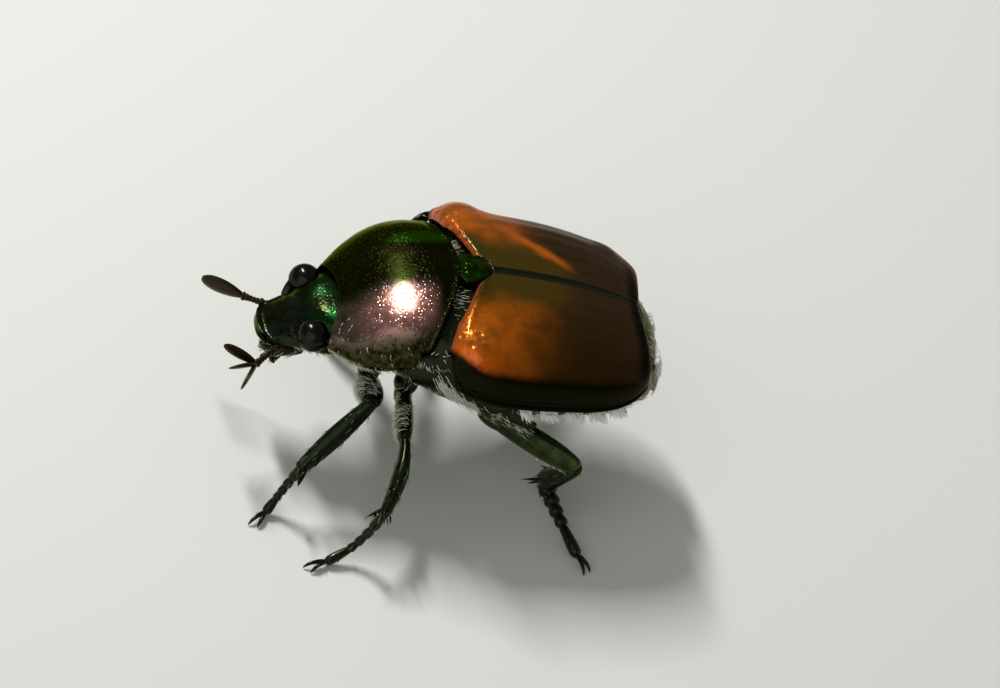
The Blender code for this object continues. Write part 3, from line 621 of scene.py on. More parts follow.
def grow(name, model, roots):
    """Copy a spine or hair to every root, as one mesh.

    Each copy follows its root's way, leans towards its bend, and where the
    root has a patch, lies on that small patch of the map OFBake.
    """
    places, faces = model
    count = len(places)
    points = []
    polygons = []
    marks = []
    for number, root in enumerate(roots):
        way = root.way.normalized()
        side = way.cross(UPRIGHT if abs(way.z) < 0.9 else ALONG_BODY).normalized()
        up = side.cross(way)
        for place in places:
            point = root.point + way * (place.z * root.length * MM)
            point += root.bend * (place.z ** 2 * root.length * MM)
            point += (side * place.x + up * place.y) * root.thickness * MM
            points.append(point)
            if root.patch:
                marks.append((
                    root.patch[0] + PATCH * (place.x * PATCH_FILL),
                    root.patch[1] + PATCH * (place.z - 0.5) * PATCH_FILL,
                ))
        first = number * count
        polygons += [tuple(first + corner for corner in face) for face in faces]
    mesh = bpy.data.meshes.new(name)
    mesh.from_pydata(points, [], polygons)
    if marks:
        layer = mesh.uv_layers.new(name="OFBake")
        for loop in mesh.loops:
            layer.data[loop.index].uv = marks[loop.vertex_index]
    mesh.validate()
    mesh.shade_smooth()
    item = bpy.data.objects.new(name, mesh)
    bpy.context.scene.collection.objects.link(item)
    return item


def roots_on(item, count, rng, keep):
    """Pick places on a piece's faces, as (point, normal), where keep allows."""
    mesh = item.data
    mesh.calc_loop_triangles()
    triangles = list(mesh.loop_triangles)
    weights = []
    covered = 0.0
    for triangle in triangles:
        covered += triangle.area
        weights.append(covered)
    found = []
    tries = 0
    while len(found) < count and tries < count * TRIES_PER_HAIR:
        tries += 1
        triangle = rng.choices(triangles, cum_weights=weights)[0]
        a, b, c = (mesh.vertices[corner] for corner in triangle.vertices)
        first = rng.random()
        second = rng.random()
        if first + second > 1:
            first, second = 1 - first, 1 - second
        point = a.co + (b.co - a.co) * first + (c.co - a.co) * second
        normal = (a.normal + (b.normal - a.normal) * first + (c.normal - a.normal) * second)
        normal.normalize()
        if rng.random() < keep(place_of(point), normal):
            found.append((point, normal))
    return found


def patch_at(point, start, end):
    """Give a root's place on the unwrap of a skin round the line start to end."""
    axis = end - start
    length = axis.length
    axis.normalize()
    offset = point - start
    share = offset.dot(axis) / length
    facing = UPRIGHT if abs(axis.z) < 0.8 else ALONG_BODY
    wide = (facing - axis * facing.dot(axis)).normalized()
    deep = axis.cross(wide)
    around = math.atan2(offset.dot(deep), offset.dot(wide)) / math.tau + 0.5
    span = 1.0 - 2 * MAP_MARGIN
    return MAP_MARGIN + span * min(max(share, 0.0), 1.0), MAP_MARGIN + span * around


def finish_piece(item, finish, colours, slot, *nodes):
    """Give a piece its material, its body and the nodes it stands for; the slot is not used."""
    item.data.materials.clear()
    item.data.materials.append(finish_of(finish, colours))
    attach(item, BODY)
    if nodes:
        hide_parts(*nodes)
    return item


# Node groups that several finishes share

def new_group(name, inputs, outputs):
    """Start a shader node group with named sockets."""
    group = bpy.data.node_groups.new(name, "ShaderNodeTree")
    for label, kind, value in inputs:
        socket = group.interface.new_socket(label, in_out="INPUT", socket_type=kind)
        if value is not None:
            socket.default_value = value
    for label, kind in outputs:
        group.interface.new_socket(label, in_out="OUTPUT", socket_type=kind)
    return group, group.nodes.new("NodeGroupInput"), group.nodes.new("NodeGroupOutput")


def add_node(tree, kind, inputs=(), **values):
    """Add a node, set its options and feed its inputs by name or number."""
    node = tree.nodes.new(kind)
    for key, value in values.items():
        setattr(node, key, value)
    for key, value in dict(inputs).items():
        if isinstance(value, bpy.types.NodeSocket):
            tree.links.new(value, node.inputs[key])
        else:
            node.inputs[key].default_value = value
    return node


def compute(tree, operation, first, second=0.0, third=0.0):
    """Add a Math node and give its result."""
    node = add_node(tree, "ShaderNodeMath", {0: first, 1: second, 2: third}, operation=operation)
    return node.outputs[0]


def product(tree, first, *others):
    """Multiply values."""
    for other in others:
        first = compute(tree, "MULTIPLY", first, other)
    return first


def scaled(tree, value, factor, added):
    """Multiply a value and add another to it."""
    return compute(tree, "MULTIPLY_ADD", value, factor, added)


def total(tree, first, second):
    """Add two values."""
    return compute(tree, "ADD", first, second)


def off_middle(tree, value):
    """Give how far a repeated count is from the middle of its step."""
    return compute(tree, "ABSOLUTE", compute(tree, "SUBTRACT", compute(tree, "FRACT", value), 0.5))


def rise(tree, value, start, end):
    """Give a mask that rises softly from 0 at start to 1 at end."""
    node = add_node(
        tree, "ShaderNodeMapRange",
        {"Value": value, "From Min": start, "From Max": end},
        interpolation_type="SMOOTHSTEP",
    )
    return node.outputs["Result"]


def blend_colours(tree, share, first, second):
    """Mix two colours by a mask."""
    node = tree.nodes.new("ShaderNodeMix")
    node.data_type = "RGBA"
    for number, value in ((0, share), (6, first), (7, second)):
        if isinstance(value, bpy.types.NodeSocket):
            tree.links.new(value, node.inputs[number])
        elif number:
            node.inputs[number].default_value = (*value, 1.0)
        else:
            node.inputs[number].default_value = value
    return node.outputs[2]


def punctures_group():
    """Fine pits with a micro grain between them, as a height."""
    group, start, end = new_group(
        "Punctured horn",
        [
            ("Vector", "NodeSocketVector", None),
            ("Pits per mm", "NodeSocketFloat", 9.0),
            ("Pit size", "NodeSocketFloat", 0.35),
            ("Grain", "NodeSocketFloat", 0.15),
        ],
        [("Height", "NodeSocketFloat")],
    )
    vector = start.outputs["Vector"]
    scale = start.outputs["Pits per mm"]
    cells = add_node(group, "ShaderNodeTexVoronoi", {"Vector": vector, "Scale": scale})
    pit = add_node(
        group, "ShaderNodeMapRange",
        {"Value": cells.outputs["Distance"], "From Min": 0.05, "From Max": start.outputs["Pit size"]},
        interpolation_type="SMOOTHSTEP",
    )
    grain = add_node(
        group, "ShaderNodeTexNoise",
        {"Vector": vector, "Scale": product(group, scale, 3.1), "Detail": 3.0},
    )
    fine = product(group, grain.outputs["Fac"], start.outputs["Grain"])
    height = total(group, pit.outputs["Result"], fine)
    group.links.new(height, end.inputs["Height"])
    return group


def mottle_group():
    """Cloudy change from one colour to another."""
    group, start, end = new_group(
        "Mottled colour",
        [
            ("Vector", "NodeSocketVector", None),
            ("Clouds per mm", "NodeSocketFloat", 1.5),
            ("Balance", "NodeSocketFloat", 0.5),
            ("Contrast", "NodeSocketFloat", 0.2),
            ("First", "NodeSocketColor", None),
            ("Second", "NodeSocketColor", None),
        ],
        [("Color", "NodeSocketColor")],
    )
    clouds = add_node(
        group, "ShaderNodeTexNoise",
        {
            "Vector": start.outputs["Vector"], "Scale": start.outputs["Clouds per mm"],
            "Detail": 5.0, "Roughness": 0.6,
        },
    )
    low = compute(group, "SUBTRACT", start.outputs["Balance"], start.outputs["Contrast"])
    high = total(group, start.outputs["Balance"], start.outputs["Contrast"])
    share = rise(group, clouds.outputs["Fac"], low, high)
    colour = blend_colours(group, share, start.outputs["First"], start.outputs["Second"])
    group.links.new(colour, end.inputs["Color"])
    return group


def striae_group():
    """Rows of small pits along a wing case, from its own map."""
    group, start, end = new_group(
        "Pit rows",
        [
            ("Vector", "NodeSocketVector", None),
            ("Rows", "NodeSocketFloat", 9.0),
            ("Pits per row", "NodeSocketFloat", 60.0),
        ],
        [("Height", "NodeSocketFloat")],
    )
    parts = add_node(group, "ShaderNodeSeparateXYZ", {0: start.outputs["Vector"]})
    across = product(group, parts.outputs["Y"], start.outputs["Rows"])
    line = rise(group, off_middle(group, across), 0.16, 0.02)
    turn = product(group, parts.outputs["X"], start.outputs["Pits per row"])
    shifted = total(group, turn, product(group, compute(group, "FLOOR", across), 0.37))
    pit = product(group, line, rise(group, off_middle(group, shifted), 0.30, 0.10))
    height = compute(group, "SUBTRACT", 1.0, total(group, pit, product(group, line, 0.35)))
    group.links.new(height, end.inputs["Height"])
    return group


def shared(name, maker):
    """Give a node group by name, made on first use."""
    return bpy.data.node_groups.get(name) or maker()


def place_group(tree, name, maker, inputs):
    """Place a shared group in a material with its own values."""
    node = tree.nodes.new("ShaderNodeGroup")
    node.node_tree = shared(name, maker)
    for key, value in inputs.items():
        if isinstance(value, bpy.types.NodeSocket):
            tree.links.new(value, node.inputs[key])
        elif isinstance(value, tuple):
            node.inputs[key].default_value = (*value, 1.0)
        else:
            node.inputs[key].default_value = value
    return node


# Finishes

HORN_TINT = (0.62, 0.66, 0.36)
AMBER_TINT = (0.58, 0.42, 0.15)
EYE_TINT = (0.45, 0.45, 0.40)


def new_finish(name, roughness, metallic, coat=0.0, coat_roughness=0.05, specular=0.5, tint=None):
    """Start a material and give its tree, its shader and millimetre places.

    Tint colours the mirrored light, which keeps dark horn dark at its edges.
    """
    material = bpy.data.materials.new(name)
    material.use_nodes = True
    tree = material.node_tree
    shader = tree.nodes["Principled BSDF"]
    shader.inputs["Roughness"].default_value = roughness
    shader.inputs["Metallic"].default_value = metallic
    shader.inputs["Coat Weight"].default_value = coat
    shader.inputs["Coat Roughness"].default_value = coat_roughness
    shader.inputs["Specular IOR Level"].default_value = specular
    shader.inputs["Specular Tint"].default_value = (*(tint or (1.0, 1.0, 1.0)), 1.0)
    texture = tree.nodes.new("ShaderNodeTexCoord")
    to_mm = add_node(tree, "ShaderNodeMapping", {"Vector": texture.outputs["Object"]})
    to_mm.inputs["Scale"].default_value = (1 / MM, 1 / MM, 1 / MM)
    to_mm.inputs["Location"].default_value = (CENTRE_ALONG, CENTRE_ACROSS, 0.0)
    return material, tree, shader, to_mm.outputs["Vector"]


def paint(tree, shader, colour_socket):
    """Feed a colour to the shader."""
    tree.links.new(colour_socket, shader.inputs["Base Color"])


def bump(tree, shader, height, depth_mm):
    """Feed a height to the shader's normal."""
    node = add_node(tree, "ShaderNodeBump", {"Height": height, "Distance": depth_mm * MM, "Strength": 1.0})
    tree.links.new(node.outputs["Normal"], shader.inputs["Normal"])


def vary_roughness(tree, shader, vector, low, high, clouds_per_mm):
    """Let gloss change a little over the surface."""
    clouds = add_node(
        tree, "ShaderNodeTexNoise", {"Vector": vector, "Scale": clouds_per_mm, "Detail": 4.0},
    )
    node = add_node(
        tree, "ShaderNodeMapRange",
        {"Value": clouds.outputs["Fac"], "From Min": 0.3, "From Max": 0.7, "To Min": low, "To Max": high},
    )
    tree.links.new(node.outputs["Result"], shader.inputs["Roughness"])


def mottled(tree, vector, clouds_per_mm, first, second, balance=0.5, contrast=0.16):
    """Place clouds of two colours and give the mixed colour."""
    node = place_group(tree, "Mottled colour", mottle_group, {
        "Vector": vector, "Clouds per mm": clouds_per_mm, "Balance": balance,
        "Contrast": contrast, "First": tuple(first), "Second": tuple(second),
    })
    return node.outputs["Color"]


def punctured(tree, vector, pits_per_mm, pit_size, grain):
    """Place fine pits and give their height."""
    node = place_group(tree, "Punctured horn", punctures_group, {
        "Vector": vector, "Pits per mm": pits_per_mm, "Pit size": pit_size, "Grain": grain,
    })
    return node.outputs["Height"]


def oval_patch(tree, parts, centre, radii):
    """Give a mask that is 1 over an oval patch, seen from above, and fades round it."""
    squares = []
    for label, middle, radius in zip("XY", centre, radii):
        offset = scaled(tree, parts.outputs[label], 1 / radius, -middle / radius)
        squares.append(product(tree, offset, offset))
    return rise(tree, total(tree, *squares), 2.0, 0.3)


def prothorax_finish(colours):
    """Green-black horn, olive below and densely punctured, with painted sheen: mauve over the left flank,
    copper round the highlight, and a painted green reflection band on top.
    """
    material, tree, shader, vector = new_finish(
        "prothorax_horn", 0.24, 1.0, 0.0, 0.10, 0.4, HORN_TINT,
    )
    parts = add_node(tree, "ShaderNodeSeparateXYZ", {0: vector})
    along, out, height = (parts.outputs[label] for label in "XYZ")
    wobble = add_node(tree, "ShaderNodeTexNoise", {"Vector": vector, "Scale": 0.9, "Detail": 3.0})
    drift = scaled(tree, wobble.outputs["Fac"], 0.5, -0.25)
    across = total(tree, out, drift)

    # The top, with a painted reflection: a bright green band across its far half
    top = mottled(tree, vector, 0.8, colours.shield_dark, colours.shield_moss, 0.52, 0.14)
    band = oval_patch(tree, parts, (-1.75, 1.12), (0.82, 0.25))
    top = blend_colours(tree, band, top, colours.shield_green_and_reflection)

    # The flanks, with painted sheen: mauve, and copper with rose glints in an oval round the key light's
    # highlight, over most of the left flank and only low on the right; the sheen gives way to dark green at
    # the hind edge
    flank = mottled(tree, vector, 1.6, colours.sheen_mauve, colours.shield_dark, 0.56, 0.2)
    copper = mottled(tree, vector, 6.0, colours.sheen_copper, colours.sheen_rose, 0.48)
    # Painted highlight sheen: copper and rose glints in an oval where the key light's highlight falls
    sheen_patch = oval_patch(tree, parts, (-2.45, -1.45), (0.95, 0.66))
    flank = blend_colours(tree, sheen_patch, flank, copper)
    flank = blend_colours(tree, rise(tree, along, -1.85, -1.35), flank, colours.shield_dark)
    # The painted sheen covers the left flank from near the top, the right flank only low down
    near = rise(tree, across, -0.35, -1.15)
    far = rise(tree, across, 1.70, 2.10)
    upper = blend_colours(tree, compute(tree, "MAXIMUM", near, far), top, flank)

    # Below a line that follows the dome, rougher and mottled with olive
    from_rear = total(tree, along, -PRONOTUM_STATIONS[-1][0])
    fall = product(tree, product(tree, from_rear, from_rear), DOME_FALL)
    dome = total(tree, total(tree, height, fall), drift)
    below = rise(tree, dome, 5.80, 5.35)
    low = mottled(tree, vector, 5.5, colours.shield_olive, colours.shield_dark, 0.5, 0.12)
    paint(tree, shader, blend_colours(tree, below, upper, low))
    vary_roughness(tree, shader, vector, 0.16, 0.27, 5.0)
    pits = punctured(tree, vector, 11.0, 0.42, 0.06)
    deeper = scaled(tree, below, 1.4, 1.0)
    bump(tree, shader, product(tree, pits, deeper), 0.0062)
    return material


def head_finish(colours):
    """Green to blue-black horn, coarsely and densely punctured."""
    material, tree, shader, vector = new_finish("head_horn", 0.20, 0.95, 0.0, 0.10, 0.4, HORN_TINT)
    parts = add_node(tree, "ShaderNodeSeparateXYZ", {0: vector})
    brow = mottled(tree, vector, 1.6, colours.head_green, colours.shield_dark, 0.52)
    face = mottled(tree, vector, 3.0, colours.head_blue, colours.shield_dark, 0.5, 0.12)
    paint(tree, shader, blend_colours(tree, rise(tree, parts.outputs["X"], -4.35, -4.75), brow, face))
    vary_roughness(tree, shader, vector, 0.15, 0.24, 6.0)
    bump(tree, shader, punctured(tree, vector, 9.0, 0.5, 0.10), 0.003)
    return material


def small_shield_finish(colours):
    """Dark green horn with sparkling pits."""
    material, tree, shader, vector = new_finish(
        "small_shield_horn", 0.2, 0.95, 0.0, 0.08, 0.4, HORN_TINT,
    )
    paint(tree, shader, mottled(tree, vector, 3.0, colours.shield_green_and_reflection, colours.shield_dark))
    bump(tree, shader, punctured(tree, vector, 7.0, 0.45, 0.10), 0.014)
    return material


def wing_case_finish(colours):
    """Polished amber horn, olive near the small shield, green-black at its side and seam.

    It reads the wing case's own map: X from front to tail, Y from seam to rim.
    """
    material, tree, shader, vector = new_finish(
        "wing_case_horn", 0.24, 0.3, 0.15, 0.06, 0.3, AMBER_TINT,
    )
    own_map = tree.nodes.new("ShaderNodeUVMap")
    own_map.uv_map = "WingMap"
    own = add_node(tree, "ShaderNodeSeparateXYZ", {0: own_map.outputs["UV"]})
    along = own.outputs["X"]
    across = own.outputs["Y"]
    wobble = add_node(tree, "ShaderNodeTexNoise", {"Vector": vector, "Scale": 1.1, "Detail": 4.0})
    drift = scaled(tree, wobble.outputs["Fac"], 0.20, -0.10)
    along_drifted = total(tree, along, drift)
    across_drifted = total(tree, across, drift)

    # Amber in front, dark brown behind, olive by the seam's front half
    amber = mottled(tree, vector, 1.6, colours.wing_amber, colours.wing_brown)
    dark = mottled(tree, vector, 1.2, colours.wing_dark, colours.wing_umber)
    colour = blend_colours(tree, rise(tree, along_drifted, 0.58, 0.14), dark, amber)
    by_seam = rise(tree, across_drifted, 0.36, 0.16)
    olive = product(tree, by_seam, rise(tree, along, 0.70, 0.40))
    colour = blend_colours(tree, olive, colour, colours.wing_olive)

    # A slanting amber streak, on the right wing case alone
    place = add_node(tree, "ShaderNodeSeparateXYZ", {0: vector})
    slope = scaled(tree, along, 0.93, total(tree, across, -0.667))
    off_line = compute(tree, "ABSOLUTE", scaled(tree, drift, 0.8, slope))
    streak = product(
        tree, rise(tree, off_line, 0.10, 0.0), rise(tree, along, 0.20, 0.40),
        rise(tree, along, 0.66, 0.48), rise(tree, across, 0.07, 0.16),
        rise(tree, place.outputs["Y"], 0.0, 0.3),
    )
    colour = blend_colours(tree, streak, colour, colours.wing_amber)

    # Red low on the shoulder, and a copper front edge
    red = product(tree, rise(tree, across_drifted, 0.60, 0.74), rise(tree, along, 0.34, 0.12))
    colour = blend_colours(tree, red, colour, colours.wing_red)
    colour = blend_colours(tree, rise(tree, along, 0.020, 0.006), colour, colours.wing_lip)

    # Green-black side, wider at the front corner, and the same round the tail
    corner = scaled(tree, rise(tree, along, 0.17, 0.0), 0.075, across)
    side = rise(tree, scaled(tree, drift, 0.3, corner), 0.735, 0.805)
    hind_end = rise(tree, scaled(tree, drift, 0.15, along), 0.905, 0.965)
    side = compute(tree, "MAXIMUM", side, hind_end)
    colour = blend_colours(tree, side, colour, colours.wing_black)
    colour = blend_colours(tree, rise(tree, across, 0.036, 0.025), colour, colours.wing_seam)
    paint(tree, shader, colour)

    # Most polished at the shoulder, more metallic and duller down the side
    shoulder = product(tree, rise(tree, along, 0.20, 0.10), rise(tree, across, 0.35, 0.55))
    bright = scaled(tree, side, -0.9, 1.0)
    gloss = product(tree, bright, scaled(tree, shoulder, 0.40, 0.08))
    tree.links.new(gloss, shader.inputs["Coat Weight"])
    tree.links.new(scaled(tree, side, 0.40, 0.35), shader.inputs["Metallic"])
    vary_roughness(tree, shader, vector, 0.18, 0.30, 3.0)

    # Rows of pits, and coarse pits at the front edge and the shoulder
    rows = place_group(tree, "Pit rows", striae_group, {
        "Vector": own_map.outputs["UV"], "Rows": float(RIDGES), "Pits per row": 62.0,
    })
    rough = compute(tree, "MAXIMUM", rise(tree, along, 0.10, 0.02), shoulder)
    coarse = punctured(tree, vector, 4.2, 0.6, 0.10)
    coarse = product(tree, coarse, scaled(tree, rough, 1.6, 0.05))
    bump(tree, shader, scaled(tree, rows.outputs["Height"], 0.16, coarse), 0.018)
    return material


# Dark horn of the other pieces: two colours, metallic share, pits per mm, their depth in mm
HORNS = {
    "mouth_horn": ("feeler_brown", "leg_black", 0.3, 9.0, 0.010),
    "feeler_horn": ("feeler_brown", "leg_black", 0.35, 10.0, 0.006),
    "thorax_horn": ("leg_black", "body_green", 0.6, 7.0, 0.010),
    "belly_horn": ("leg_black", "body_green", 0.5, 6.0, 0.010),
    "tail_horn": ("leg_black", "head_green", 0.7, 9.0, 0.010),
    "thigh_horn": ("leg_black", "leg_green", 0.65, 8.0, 0.010),
    "hind_thigh_horn": ("leg_green", "thigh_olive", 0.5, 8.0, 0.010),
    "shin_horn": ("leg_black", "leg_green", 0.7, 7.0, 0.010),
    "foot_horn": ("foot_black", "foot_brown", 0.1, 6.0, 0.003),
}


def body_finish(name, colours):
    """Dark polished horn of two mottled colours."""
    first, second, metallic, pits_per_mm, depth_mm = HORNS[name]
    material, tree, shader, vector = new_finish(name, 0.25, metallic, 0.12, 0.08, 0.3, HORN_TINT)
    clouds = mottled(tree, vector, 2.4, getattr(colours, first), getattr(colours, second), 0.5, 0.18)
    paint(tree, shader, clouds)
    vary_roughness(tree, shader, vector, 0.18, 0.34, 4.0)
    bump(tree, shader, punctured(tree, vector, pits_per_mm, 0.4, 0.10), depth_mm)
    return material


def eye_finish(colours):
    """Black eye with a fine mesh of facets."""
    material, tree, shader, vector = new_finish("eye_facets", 0.16, 0.9, 0.25, 0.10, 0.2, EYE_TINT)
    cells = add_node(
        tree, "ShaderNodeTexVoronoi", {"Vector": vector, "Scale": 24.0, "Randomness": 0.35},
    )
    edge = rise(tree, cells.outputs["Distance"], 0.75, 0.20)
    paint(tree, shader, blend_colours(tree, edge, colours.eye_line, colours.eye_black))
    bump(tree, shader, edge, 0.002)
    return material


# Hairs: the two colours of their clouds
HAIRS = {
    "pale_hair": ("hair_grey", "hair_pale"),
    "white_hair": ("tuft_cream", "tuft_white"),
    "bristle_horn": ("feeler_brown", "bristle_brown"),
}


def hair_finish(name, colours):
    """Hair of two mottled colours with a slight silky shine."""
    first, second = HAIRS[name]
    material, tree, shader, vector = new_finish(name, 0.42, 0.0)
    paint(tree, shader, mottled(
        tree, vector, 14.0, getattr(colours, first), getattr(colours, second), 0.5, 0.2,
    ))
    shader.inputs["Sheen Weight"].default_value = 0.7
    return material


OWN_FINISHES = {
    "prothorax_horn": prothorax_finish,
    "head_horn": head_finish,
    "small_shield_horn": small_shield_finish,
    "wing_case_horn": wing_case_finish,
    "eye_facets": eye_finish,
}


def finish_of(name, colours):
    """Give a material by name, made on first use."""
    if name in bpy.data.materials:
        return bpy.data.materials[name]
    if name in HORNS:
        return body_finish(name, colours)
    if name in HAIRS:
        return hair_finish(name, colours)
    return OWN_FINISHES[name](colours)


# Forebody

def oval(along, half_width, top, edge, under, round_top, round_under, sides):
    """Give one cross-section of the body, each point as [along, across, height]."""
    ring = []
    for step in range(sides):
        angle = math.tau * step / sides
        roundness = round_top if math.sin(angle) >= 0 else round_under
        wide, high = rounded(angle, roundness)
        reach = top - edge if high >= 0 else edge - under
        ring.append([along, half_width * wide, edge + reach * high])
    return ring


def prothorax_ring(along, inset, form):
    """Give a section of the prothorax, drawn in by inset."""
    first = PRONOTUM_STATIONS[0][0]
    last = PRONOTUM_STATIONS[-1][0]
    half_width, top, edge, under = curve_at(PRONOTUM_STATIONS, along)
    share = (along - first) / (last - first)
    slant = FRONT_WALL_SLANT * (1 - share) + HIND_WALL_SLANT * share
    lip = 0.30 * bell(along, last, 0.09) + 0.7 * bell(along, first, 0.09)
    furrow = bell(along, last - 0.22, 0.08)
    ring = []
    for point in oval(
        along, half_width, top, edge, under, PRONOTUM_ROUND_TOP, PRONOTUM_ROUND_UNDER, 96,
    ):
        side_share = abs(point[1]) / half_width
        depth_share = max(edge - point[2], 0.0) / (edge - under)
        bead = bell(point[2], edge, 0.07) * ease(side_share, 0.80, 0.98)
        gutter = bell(point[2], edge + 0.22, 0.10) * ease(side_share, 0.80, 0.96)
        grow_out = form.margin_bead * (bead + 0.4 * lip - 0.5 * gutter - 0.35 * furrow) - inset
        outward = Vector((point[1] / half_width, (point[2] - edge) / (top - edge)))
        if outward.length > 0:
            outward.normalize()
        point[1] += outward.x * grow_out
        point[2] += outward.y * grow_out
        point[0] += FRONT_ANGLE_REACH * (1 - share) * side_share ** 2
        point[0] += HIND_ANGLE_REACH * share ** 2 * side_share ** HIND_ANGLE_CURVE
        point[0] += slant * depth_share
        ring.append(at(*point))
    return ring


def make_prothorax(form, colours):
    """The domed shield in front, with its margins, walls and underside."""
    first = PRONOTUM_STATIONS[0][0]
    last = PRONOTUM_STATIONS[-1][0]
    rings = [prothorax_ring(first + step, inset, form) for step, inset in FRONT_WALL]
    rings += [prothorax_ring(along, 0.0, form) for along in spread(first, last, 34)]
    rings += [prothorax_ring(last + step, inset, form) for step, inset in HIND_WALL]
    item = skin("prothorax", rings)
    smooth_over(item, 1, 70.0)
    return finish_piece(item, "prothorax_horn", colours, "green_chitin", "pronotum")


def head_ring(along, inset=0.0):
    """Give a section of the head, with the plate over the mouth in front."""
    first = HEAD_STATIONS[0][0]
    last = HEAD_STATIONS[-1][0]
    half_width, top, edge, under = curve_at(HEAD_STATIONS, along)
    share = (last - along) / (last - first)
    front = ease(along, *CLYPEUS_RISE)
    rim = front * bell(along, first, 0.10)
    seam = bell(along, CLYPEUS_SEAM, 0.06)
    brow = bell(along, *BROW)
    ring = []
    for point in oval(along, half_width, top, edge, under, HEAD_ROUND, HEAD_ROUND, 64):
        out = point[1] / half_width
        high = (point[2] - edge) / (top - edge)
        corner = front * ease(high, 0.15, 0.55) * ease(abs(out), 0.72, 0.92)
        above = ease(high, 0.0, 0.5)
        lift = 0.07 * rim * above + 0.06 * corner - 0.045 * front * above * (1 - abs(out) ** 2)
        lift -= 0.035 * seam * above
        lift += 0.03 * brow * above * bell(abs(out), 0.45, 0.25)
        point[1] += out * (0.04 * corner - inset)
        point[2] += lift - inset * high
        point[0] += CLYPEUS_CURVE * share ** 3 * abs(out) ** 3
        ring.append(at(*point))
    return ring


def make_head(colours):
    """The head capsule, with its reflexed front edge and a ridge before each eye."""
    first = HEAD_STATIONS[0][0]
    rings = [head_ring(first, inset) for inset in CLYPEUS_INSETS]
    rings += [head_ring(along) for along in spread(first, HEAD_END, 40)]
    pieces = [skin("head_capsule", rings)]
    for side in (LEFT, RIGHT):
        pieces.append(limb(
            "canthus", route(side, RIDGE_BEFORE_EYE), (0.34, 0.34, 0.30, 0.20),
            (0.16, 0.18, 0.16, 0.10), ALONG_BODY, 12,
        ))
    item = join("head_capsule", pieces)
    smooth_over(item, 1, 70.0)
    return finish_piece(item, "head_horn", colours, "green_chitin", "head")


def make_eye(name, side, colours):
    """One bulging, finely faceted eye, seated on the cheek."""
    deselect_all()
    bpy.ops.mesh.primitive_uv_sphere_add(segments=48, ring_count=32, radius=1.0)
    item = named(name)
    centre = on_side(side, EYE_CENTRE)
    for vert in item.data.vertices:
        vert.co = centre + Vector(
            size * reach * MM for size, reach in zip(vert.co, EYE_RADII)
        )
    settle_order(item)
    settle_place(item)
    smooth_over(item, 0)
    return finish_piece(item, "eye_facets", colours, "eye_black", name)


def beads(name, joints, thicknesses, sides):
    """Model a chain of joints, each length swelling towards its end."""
    pieces = []
    for start, end, thickness in zip(joints, joints[1:], thicknesses):
        sizes = times(thickness, (0.74, 0.84, 1.0, 1.0, 0.80))
        points = between(start, end, (0.02, 0.26, 0.60, 0.88, 0.98))
        pieces.append(limb(name, points, sizes, sizes, UPRIGHT, sides))
    return pieces


def make_mouth(colours):
    """Lip, jaws, chin and four short palps under the clypeus."""
    rings = []
    for along in spread(MOUTH_STATIONS[0][0] + 0.10, MOUTH_STATIONS[-1][0], 16):
        half_width, top, edge, under = curve_at(MOUTH_STATIONS, along)
        section = oval(along, half_width * 0.86, top + 0.12, edge, under + 0.05, 2.4, 2.4, 32)
        rings.append([at(*point) for point in section])
    pieces = [skin("mouth", rings)]
    lip = [at(*place) for place in LIP]
    pieces.append(limb("lip", lip, (0.84, 0.96, 0.84, 0.50), (0.16, 0.16, 0.14, 0.10), ACROSS_BODY, 20))
    for side in (LEFT, RIGHT):
        pieces.append(limb(
            "jaw", route(side, JAW), (0.30, 0.34, 0.30, 0.20, 0.10), (0.24, 0.24, 0.18, 0.12, 0.06),
            UPRIGHT, 16,
        ))
        pieces += beads("palp", route(side, LONG_PALP), (0.20, 0.20, 0.24), 12)
        pieces += beads("palp", route(side, SHORT_PALP), (0.15, 0.17), 12)
    item = join("mouthparts_fine", pieces)
    smooth_over(item, 1, 60.0)
    return finish_piece(item, "mouth_horn", colours, "brown_feeler", "mouthparts")


def make_feeler(name, side, colours, node):
    """One feeler: long first joint, small beads and the three leaves of its club."""
    club_root, tips = CLUBS[name.split("_")[1]]
    root = on_side(side, FEELER_ROOT)
    club = on_side(side, club_root)
    elbow = root.lerp(club, 0.44)
    pieces = [limb(
        "scape", between(root, elbow, (0.0, 0.25, 0.6, 0.9)), (0.16, 0.18, 0.24, 0.26),
        (0.16, 0.17, 0.22, 0.24), UPRIGHT, 16,
    )]
    joints = between(elbow, club, (0.0, 0.22, 0.40, 0.56, 0.72, 0.88, 1.04))
    pieces += beads("joint", joints, (0.25, 0.19, 0.18, 0.19, 0.21, 0.26), 14)
    for number, tip in enumerate(tips):
        turned = name.endswith("left")
        facing = EDGE_ON if turned and number > 0 else UPRIGHT
        broad = CLUB_LEAF_WIDTH * (UPPER_LEAF_SHARE if turned and number == 0 else 1.0)
        pieces.append(limb(
            "leaf", between(club, on_side(side, tip), (0.0, 0.12, 0.30, 0.52, 0.74, 0.90, 0.98)),
            times(broad, (0.34, 0.56, 0.86, 1.0, 0.96, 0.70, 0.36)),
            times(CLUB_LEAF_DEPTH, (0.60, 0.64, 0.70, 0.70, 0.60, 0.42, 0.22)), facing, 20,
        ))
    item = join(name, pieces)
    smooth_over(item, 1, 60.0)
    return finish_piece(item, "feeler_horn", colours, "brown_feeler", node)


def scutellum_half_width(forward):
    """Give the small shield's half width, from -1 at its tip to 1 at its root."""
    return SCUTELLUM_HALF_WIDTH * (0.80 + 0.28 * forward)


def scutellum_point(angle, scale, height):
    """Give a point of the small shield, on its outline shrunk by scale."""
    forward = math.cos(angle)
    out = math.sin(angle) * scutellum_half_width(forward) * scale
    along = -SCUTELLUM_LENGTH / 2 - forward * SCUTELLUM_LENGTH / 2 * scale
    fall = 0.05 * (out / SCUTELLUM_HALF_WIDTH) ** 2
    return at(along, out, height - fall)


